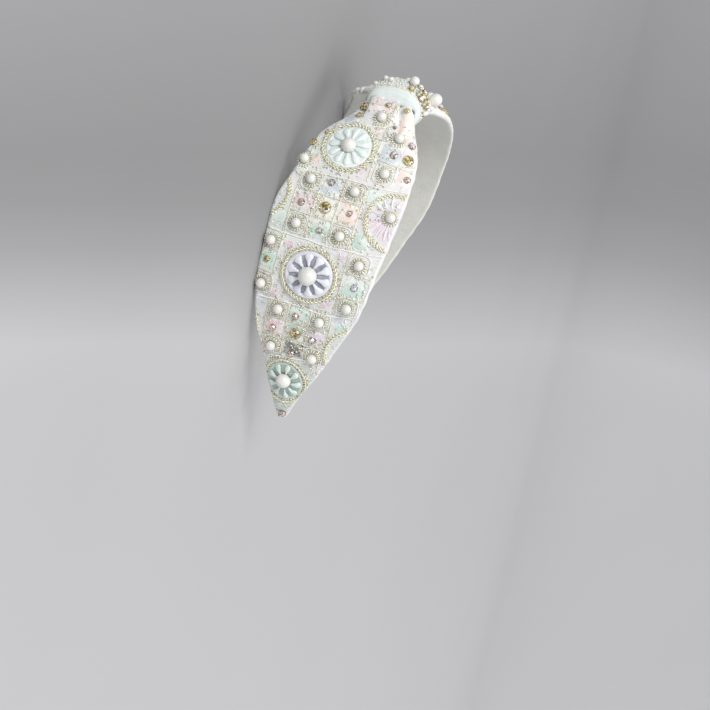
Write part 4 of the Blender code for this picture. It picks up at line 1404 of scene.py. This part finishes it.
# %% [markdown]
# The seed beads are small balls of lined glass. One ball of few faces is the template and every bead is a
# copy of it, moved to its place, because a shape that is repeated hundreds of times needs only a few faces.

# %% Seed beads
BEADS_A_SIDE = 420
BEAD_RADIUS, RING_BEAD_RADIUS, DOT_RADIUS = 0.42 * MM, 0.33 * MM, 0.27 * MM
DOT_MARGIN = 0.6 * MM
STUD_OFFSET = 0.075


def bead_material(name, light, dark, metallic):
    material = new_material(name, Metallic=metallic, Roughness=0.16, Coat_Weight=0.8, Coat_Roughness=0.05)
    here = add_node(material, "TexCoord").outputs["Object"]
    lining = mix_colours(material, spots(material, here, 1100.0, 0.42, 0.58), light, dark)
    to_shader(material, Base_Color=lining)
    return material


silver_bead = bead_material("silver_lined_bead", (0.88, 0.88, 0.84), (0.52, 0.50, 0.42), 0.25)
gold_bead = bead_material("gold_lined_bead", (0.92, 0.86, 0.60), (0.58, 0.50, 0.28), 0.4)
cream_bead = bead_material("cream_bead", (0.93, 0.92, 0.80), (0.78, 0.76, 0.58), 0.1)
dark_bead = bead_material("smoke_bead", (0.34, 0.34, 0.32), (0.12, 0.12, 0.12), 0.2)


def beads_piece(name, centres, radius, material, fine=1):
    bm, ball = bmesh.new(), bmesh.new()
    bmesh.ops.create_uvsphere(ball, u_segments=8 * fine, v_segments=5 * fine, radius=radius)
    for centre in centres:
        copy_onto(bm, ball, lambda point: centre + point)
    return finish_piece(name, bm, material)


def on_cloth(places, side, height):
    return [place(*from_squares(row, column, side), height) for row, column in places]


def dots_round(row, column, radius, count, stretch=1.0, phase=0.0):
    angles = [2 * math.pi * (index + phase) / count for index in range(count)]
    return [(row + radius * stretch * math.cos(angle), column + radius * math.sin(angle)) for angle in angles]


def seed_places(count, seed):
    return [spot[:2] for spot in scattered(count, seed)]


def on_band(spots_in_squares):
    return [spot for spot in spots_in_squares if inside_band(*from_squares(*spot), DOT_MARGIN)]


for side_name, side in SIDES.items():
    silver, gold = seed_places(BEADS_A_SIDE, 31 + side), seed_places(BEADS_A_SIDE // 3, 47 + side)
    beads_piece(side_name + "_seed_beads", on_cloth(silver, side, 0.30 * MM), BEAD_RADIUS, silver_bead)
    beads_piece(side_name + "_gold_seed_beads", on_cloth(gold, side, 0.28 * MM), BEAD_RADIUS * 0.9, gold_bead)
    dots, studs = [], []
    for row, column, ring, stretch in (ring_of(name) for name in FLOWERS):
        dots += dots_round(row, column, ring - 0.085, 15, stretch)
        dots += dots_round(row, column, ring + 0.09, 13, stretch, 0.5)
        for way in (-STUD_OFFSET, STUD_OFFSET):
            studs += dots_round(row, column, ring + way, 44, stretch, 0.5 + 3 * way)
    for row, column, radius in CUT_RINGS.values():
        studs += dots_round(row, column, radius + STUD_OFFSET, 60)
        studs += dots_round(row, column, radius - STUD_OFFSET, 60, 1.0, 0.5)
    studs, dots = on_cloth(on_band(studs), side, 0.30 * MM), on_cloth(on_band(dots), side, 0.42 * MM)
    beads_piece(side_name + "_ring_beads", studs, RING_BEAD_RADIUS, cream_bead)
    beads_piece(side_name + "_smoke_dots", dots, DOT_RADIUS, dark_bead)
print(BEADS_A_SIDE, "seed beads on each side")

# %% [markdown]
# Little sprigs of pink silk fill the corners of the flower squares: a few leaf stitches that fan out from
# one point. The half flowers at the edges have long petals of the same kind in lilac and white. Short
# stitches of the same silk lie askew over the satin patches, so that these look worn by hand and not
# printed.

# %% Sprigs and silk petals
SPRIGS = [
    # row, column, way it fans out in degrees, colour
    (-1.14, -1.24, 135, "pink"), (-1.10, 1.16, 45, "lilac"), (1.30, -1.14, 225, "pink"),
    (1.16, 1.20, -45, "pink"), (-5.12, -1.16, 225, "peach"), (-5.02, 0.84, -45, "pink"),
    (-6.80, -0.72, 150, "pink"), (-6.92, 0.78, 60, "peach"),
]
SPRIG_SPREAD = (-75, -52, -28, -8, 16, 36, 60, 80)
SPRIG_LEAF, SPRIG_TAPER, SPRIG_FAT = 0.46, 420, 0.62
LEAF_THICKNESS, LEAF_HEIGHT, LEAF_MARGIN, LEAF_PARTS = 0.50 * MM, 0.05 * MM, 0.7 * MM, 5


def leaf_line(row, column, angle, size, fat=1.0):
    points = []
    for index in range(LEAF_PARTS + 1):
        share = index / LEAF_PARTS
        reach, width = size * share, 0.3 + 1.3 * math.sin(math.pi * min(share * 1.05, 1.0)) ** 0.8
        points.append((row + reach * math.cos(angle), column + reach * math.sin(angle), width * fat))
    return points


def silk_leaves(name, leaves, side, thickness, material):
    lines = []
    for leaf in leaves:
        inside = [point for point in leaf if inside_band(*from_squares(point[0], point[1]), LEAF_MARGIN)]
        lines.append([(place(*from_squares(row, column, side), LEAF_HEIGHT), width)
                      for row, column, width in inside])
    return finish_piece(name, thread_mesh(lines, thickness), material)


def silk_thread(name, light, dark):
    material = new_material(name, Roughness=0.38, Sheen_Weight=0.4, Specular_Ior_Level=0.5)
    here = add_node(material, "TexCoord").outputs["Object"]
    colour = mix_colours(material, spots(material, here, 1500.0, 0.35, 0.65), light, dark)
    to_shader(material, Base_Color=colour,
              Normal=bump(material, spots(material, here, 4200.0, 0.3, 0.7), 0.6, 0.08 * MM))
    return material


SILK_THREADS = {name: silk_thread(name + "_silk", tuple(0.25 + 0.72 * value for value in silk), silk)
                for name, silk in SILKS.items()}
EDGE_FLOWERS = {
    # row, column, inner and outer radius in squares, leaves, colours
    "upper_front": (-3.44, 2.70, 0.42, 1.02, 15, ("pale_lilac", "white", "pale_lilac")),
    "upper_rear": (-3.10, -3.20, 0.20, 1.15, 17, ("pale_lilac", "white")),
    "lower_front": (3.50, 3.10, 0.30, 1.40, 19, ("white", "pale_lilac")),
    "lower_rear": (3.50, -3.30, 0.30, 1.35, 17, ("pale_lilac", "white")),
}
EDGE_FAN_LEAVES, EDGE_FAN_START, EDGE_FAN_STEP = 9, -62, 15
EDGE_FAN_INNER, EDGE_FAN_LEAF = 0.45, 0.52
LOOSE_STITCHES, LOOSE_REACH, LOOSE_TURN, LOOSE_FAT = 16, 1.1, 0.5, 0.7
LOOSE_LENGTHS, LOOSE_SPARE = (0.12, 0.26), 0.05
for side_name, side in SIDES.items():
    groups = {name: [] for name in ("pink", "lilac", "peach", "pale_lilac", "white")}
    for row, column, way, colour in SPRIGS:
        for index, off in enumerate(SPRIG_SPREAD):
            size = SPRIG_LEAF - abs(off) / SPRIG_TAPER
            shade = "pale_pink" if index % 3 == 1 else colour
            leaf = leaf_line(row, column, math.radians(180 - way + off), size, SPRIG_FAT)
            groups.setdefault(shade, []).append(leaf)
    for row, column, inner, outer, leaves, colours in EDGE_FLOWERS.values():
        for index in range(leaves):
            angle = 2 * math.pi * index / leaves
            start = (row + inner * math.cos(angle), column + inner * math.sin(angle))
            groups[colours[index % len(colours)]].append(leaf_line(*start, angle, outer - inner))
    row, column = EDGE_FLOWERS["upper_front"][:2]
    for index in range(EDGE_FAN_LEAVES):
        angle = math.radians(EDGE_FAN_START + EDGE_FAN_STEP * index)
        start = (row + EDGE_FAN_INNER * math.cos(angle), column + EDGE_FAN_INNER * math.sin(angle))
        groups["pink"].append(leaf_line(*start, angle, EDGE_FAN_LEAF))
    draw = random.Random(70 + side)
    for row, column, half_length, half_width, colour, across in SATIN_CELLS:
        for index in range(LOOSE_STITCHES):
            at_row = row + draw.uniform(-LOOSE_REACH, LOOSE_REACH) * half_length
            at_column = column + draw.uniform(-LOOSE_REACH, LOOSE_REACH) * half_width
            if is_clear(at_row, at_column, LOOSE_SPARE):
                way = (math.pi / 2 if across else 0.0) + draw.uniform(-LOOSE_TURN, LOOSE_TURN)
                leaf = leaf_line(at_row, at_column, way, draw.uniform(*LOOSE_LENGTHS), LOOSE_FAT)
                groups.setdefault(colour, []).append(leaf)
    for name, leaves in groups.items():
        silk_leaves(f"{side_name}_{name}_leaves", leaves, side, LEAF_THICKNESS, SILK_THREADS[name])
    print(side_name, sum(len(leaves) for leaves in groups.values()), "leaf stitches")

# %% [markdown]
# Small stitches hold the turned-in edge of the cloth. They stand across both long edges, just inside the
# fold and at an even pace.

# %% Edge stitches
EDGE_PITCH = 2.4 * MM
EDGE_STITCH = [
    # inset from the edge and height over the cloth, in mm
    (0.55, -0.35), (0.9, 0.05), (1.4, 0.10), (1.9, -0.12),
]
EDGE_SLANT = 0.3
FIRST_STITCH, LAST_LEFT_OUT = 4, 3


def edge_stitches():
    lines = []
    count = int(HALF_LENGTH / EDGE_PITCH) - LAST_LEFT_OUT
    for side in (-1, 1):
        for index in range(FIRST_STITCH, count):
            length = side * index * EDGE_PITCH
            half, middle = station(length)[2:4]
            for edge in (-1, 1):
                lines.append([place(length + inset * EDGE_SLANT * MM, middle + edge * (half - inset * MM),
                                    height * MM) for inset, height in EDGE_STITCH])
    return lines


edge_threads = thread_mesh(edge_stitches(), 0.30 * MM, sides=4)
stitches = finish_piece("edge_stitches", edge_threads, white_thread)
print(stitches.name, triangles(stitches), "triangles")

# %% [markdown]
# The belt over the knot is beaded by hand: small pearls at the back, cut stones, glass beads and larger
# pearls towards the front, and a couched gilt thread along both folds. Places are a distance from the
# middle of the knot and an angle from its top.

# %% Beads on the knot
BELT_BEADED = 4.2
TRIES = 40
BELT_THREAD_AT, BELT_THREAD_START, BELT_THREAD_STEP, BELT_THREAD_STEPS = 4.6, -110, 2.2, 100


def on_knot(x, degrees, height):
    return knot_place(x * MM, math.radians(degrees), height * MM)


def belt_beads(count, low, high, rise, seed, gap):
    """Random places on the belt between two angles, no two nearer than a gap in mm."""
    draw, found = random.Random(seed), []
    for _ in range(count * TRIES):
        x, degrees = draw.uniform(-BELT_BEADED, BELT_BEADED), draw.uniform(low, high)
        spot = on_knot(x, degrees, rise * 0.6)
        if len(found) < count and all((spot - other).length > gap * MM for other in found):
            found.append(spot)
    return found


KNOT_STONES = [
    # x in mm, angle in degrees, radius in mm, kind
    (3.2, 24, 1.4, "gold"), (3.4, 50, 1.5, "pink"), (0.6, 52, 1.5, "gold"), (-3.0, 48, 1.5, "pink"),
    (-3.2, 66, 1.4, "gold"), (2.2, 68, 1.3, "gold"), (-0.6, 74, 1.3, "pink"), (-3.0, 28, 1.3, "gold"),
]
KNOT_OLIVES = [(3.6, 40), (1.6, 41), (-1.2, 38), (-2.2, 57), (1.2, 62), (3.6, 62)]
KNOT_PEARLS = [(0.6, -20), (-2.6, 16), (-2.2, 36), (-2.4, -34), (0.8, -52), (0.2, 86), (3.2, 82), (-2.6, 84)]
beads_piece("knot_seed_pearls", belt_beads(110, -100, 14, 0.0, 3, 1.2), 0.55 * MM, pearl)
beads_piece("knot_silver_beads", belt_beads(60, 16, 95, 0.2, 5, 1.1), 0.42 * MM, silver_bead)
beads_piece("knot_smoke_beads", belt_beads(16, 20, 90, 0.4, 9, 2.2), 0.40 * MM, dark_bead)
beads_piece("knot_olive_beads", [on_knot(*spot, 0.7) for spot in KNOT_OLIVES], 0.85 * MM,
            SCATTER_FINISHES["olive"], fine=2)
beads_piece("knot_small_pearls", [on_knot(*spot, 0.9) for spot in KNOT_PEARLS], 1.0 * MM, pearl, fine=2)
bm = stone_bmesh()
for index, (x, degrees, radius, kind) in enumerate(KNOT_STONES):
    add_stone(bm, radius * MM, kind, knot_facing(x * MM, math.radians(degrees)), 300 + index)
finish_piece("knot_stones", bm, STONE_METALS, smooth_angle=FACETED)
edge_lines = [[on_knot(x + 0.12 * math.sin(step * 0.9), BELT_THREAD_START + step * BELT_THREAD_STEP, 0.25)
               for step in range(BELT_THREAD_STEPS + 1)] for x in (-BELT_THREAD_AT, BELT_THREAD_AT)]
finish_piece("knot_edge_threads", thread_mesh(edge_lines, 0.42 * MM), pale_gold)
print("knot beaded")

# %% [markdown]
# The far side of the gathers has a row of small pearls along its rear edge, next to the knot, and a white
# zigzag cord in front of it, which only the left side has.

# %% Left gathers
CLUSTER = [
    # row in squares, inset in mm
    (-7.10, 0.6), (-6.72, 0.1), (-6.36, 0.7), (-5.90, 0.2), (-5.50, 0.5),
]
CLUSTER_SINK = 0.9 * MM
FRONT_BEADS = [(-8.35, 2.25), (-7.35, 2.10), (-6.95, 2.45), (-8.55, 1.00)]


def rear_edge_spot(row, inset):
    """Middle of a pearl that straddles the rear edge of the left side, inset in mm."""
    length = from_squares(row, 0.0, -1)[0]
    half, middle = station(length)[2:4]
    return place(length, middle - half + inset * MM, -CLUSTER_SINK)


beads_piece("left_pearl_cluster", [rear_edge_spot(*spot) for spot in CLUSTER], 1.4 * MM, pearl, fine=2)
zigzag = [(-8.75 + 0.16 * step, 1.35 + 0.28 * (step % 2)) for step in range(9)]
threads_piece("left_zigzag_cord", [zigzag], -1, 0.8 * MM, 0.5 * MM, white_thread, 8)
beads_piece("left_front_beads", on_cloth(FRONT_BEADS, -1, 0.9 * MM), 1.1 * MM, pearl, fine=2)
print("left gathers beaded")

# %% [markdown]
# A floor and a backdrop in one sheet, the camera at the angle of the photograph, and soft studio light. The
# backdrop curves up far behind the band, so no horizon cuts the picture. The paper carries painted shade: its
# tone turns round one point of the floor, with a dark band of painted shadow, as in the photograph, and it is
# painted darker near that point and lighter far from it, as painted light. The camera is set by two angles
# round the crown, and its middle is then aimed beside the band, as in the photograph.

# %% Floor and backdrop
PAINTED_SHADE_CORNER = (0.759, -0.299, 0.0)
PAINTED_SHADE_TONES = [
    # degrees round the corner, painted shade tone
    (90, 0.68), (144, 0.71), (150, 0.68), (153.5, 0.68), (155.0, 0.70), (156.6, 0.53), (158.3, 0.40),
    (160.4, 0.37), (164.5, 0.43), (225, 0.66), (300, 0.68),
]
SHEET_LENGTH, SHEET_FRONT, SHEET_HALF_WIDTH = 6.6, 2.6, 4.0
FLAT_REACH, SHEET_CURVE = 2.0, 0.8


def make_floor():
    bm = bmesh.new()
    bmesh.ops.create_grid(bm, x_segments=60, y_segments=2, size=1.0)
    for vert in bm.verts:
        run = (vert.co.x + 1) / 2 * SHEET_LENGTH - SHEET_FRONT
        back = max(run - FLAT_REACH, 0.0)
        angle = min(back / SHEET_CURVE, math.pi / 2)
        beyond = max(back - SHEET_CURVE * math.pi / 2, 0.0)
        vert.co = Vector((-min(run, FLAT_REACH) - SHEET_CURVE * math.sin(angle), vert.co.y * SHEET_HALF_WIDTH,
                          SHEET_CURVE * (1 - math.cos(angle)) + beyond))
    mesh = bpy.data.meshes.new("floor")
    bmesh.ops.recalc_face_normals(bm, faces=bm.faces)
    bm.to_mesh(mesh)
    bm.free()
    mesh.shade_smooth()
    paper = new_material("backdrop_paper_painted_shade", Roughness=0.9, Specular_Ior_Level=0.2)
    here = add_node(paper, "TexCoord").outputs["Object"]
    # painted shade: the paper's tone turns round one corner point, with a dark band of painted shadow
    corner = add_node(paper, "Mapping", {"Vector": here, "Location": PAINTED_SHADE_CORNER,
                                         "Rotation": (0, 0, math.pi)}).outputs["Vector"]
    turn = add_node(paper, "TexGradient", {"Vector": corner}, gradient_type="RADIAL").outputs["Fac"]
    fan = add_node(paper, "ValToRGB", {"Fac": turn})
    ramp = fan.color_ramp
    for degrees, tone in PAINTED_SHADE_TONES:
        stop = ramp.elements.new(degrees / 360)
        stop.color = (tone, tone, tone * 1.01, 1.0)
    ramp.elements.remove(ramp.elements[0])
    ramp.elements[-1].color = (PAINTED_SHADE_TONES[-1][1],) * 3 + (1.0,)
    # painted light: the paper is painted darker near the corner point and lighter far from it
    away = add_node(paper, "VectorMath", {0: corner}, operation="LENGTH").outputs["Value"]
    lift = add_node(paper, "MapRange", {"Value": away, "From Min": 0.6, "From Max": 2.7, "To Min": 1.0,
                                        "To Max": 0.0}).outputs["Result"]
    painted_shade_colour = mix_colours(paper, lift, fan.outputs["Color"], (0.72, 0.72, 0.72), "MULTIPLY")
    mottled = mix_colours(paper, spots(paper, here, 3.0, 0.3, 0.7), painted_shade_colour, (0.98, 0.98, 0.98), "MULTIPLY")
    to_shader(paper, Base_Color=mottled)
    mesh.materials.append(paper)
    floor = bpy.data.objects.new("floor", mesh)
    bpy.context.scene.collection.objects.link(floor)


make_floor()
print("floor laid")

# %% Camera
CAMERA_AZIMUTH, CAMERA_ELEVATION, CAMERA_ROLL = math.radians(9), math.radians(25), math.radians(14)
CAMERA_DISTANCE = 0.8
CAMERA_AIM = Vector((0, 6 * MM, 0))
LENS, SENSOR, PICTURE = 100, 36, 710
AXIS_AT = (364.51, 244.32)


def make_camera():
    back = Vector((math.cos(CAMERA_ELEVATION) * math.cos(CAMERA_AZIMUTH),
                   math.cos(CAMERA_ELEVATION) * math.sin(CAMERA_AZIMUTH), math.sin(CAMERA_ELEVATION)))
    level = (-back).cross(Vector((0, 0, 1))).normalized()
    upright = level.cross(-back)
    right = math.cos(CAMERA_ROLL) * level + math.sin(CAMERA_ROLL) * upright
    up = -math.sin(CAMERA_ROLL) * level + math.cos(CAMERA_ROLL) * upright
    reach = PICTURE * LENS / SENSOR
    aside, above = PICTURE / 2 - AXIS_AT[0], PICTURE / 2 - AXIS_AT[1]
    ahead = (-back * reach + right * aside - up * above).normalized()
    right = ahead.cross(up).normalized()
    turn = Matrix((right, right.cross(ahead), -ahead)).transposed().to_4x4()
    lens = bpy.data.cameras.new("camera")
    lens.lens, lens.sensor_width, lens.clip_start, lens.clip_end = LENS, SENSOR, 0.01, 50
    camera = bpy.data.objects.new("camera", lens)
    bpy.context.scene.collection.objects.link(camera)
    camera.matrix_world = TO_TABLE @ Matrix.Translation(CAMERA_AIM + back * CAMERA_DISTANCE) @ turn
    bpy.context.scene.camera = camera
    return camera


camera = make_camera()
print("camera at", [round(value / MM) for value in camera.matrix_world.translation], "mm")


# %% Studio light
def soft_box(name, direction, distance, size, power):
    light = bpy.data.lights.new(name, "AREA")
    light.size, light.energy = size, power
    lamp = bpy.data.objects.new(name, light)
    bpy.context.scene.collection.objects.link(lamp)
    lamp.matrix_world = (Matrix.Translation(Vector(direction).normalized() * distance)
                         @ Vector(direction).to_track_quat("Z", "Y").to_matrix().to_4x4())
    return lamp


world = bpy.data.worlds.new("studio")
world.use_nodes = True
background = world.node_tree.nodes["Background"]
background.inputs["Color"].default_value = (1.0, 1.0, 1.02, 1)
background.inputs["Strength"].default_value = 0.70
bpy.context.scene.world = world
bpy.context.scene.view_settings.view_transform = "Standard"
soft_box("key", direction=(0.60, -0.80, 0.50), distance=2.4, size=0.70, power=28)
soft_box("overhead", direction=(0.2, -0.1, 1.0), distance=2.4, size=1.6, power=16)
print("lights set")
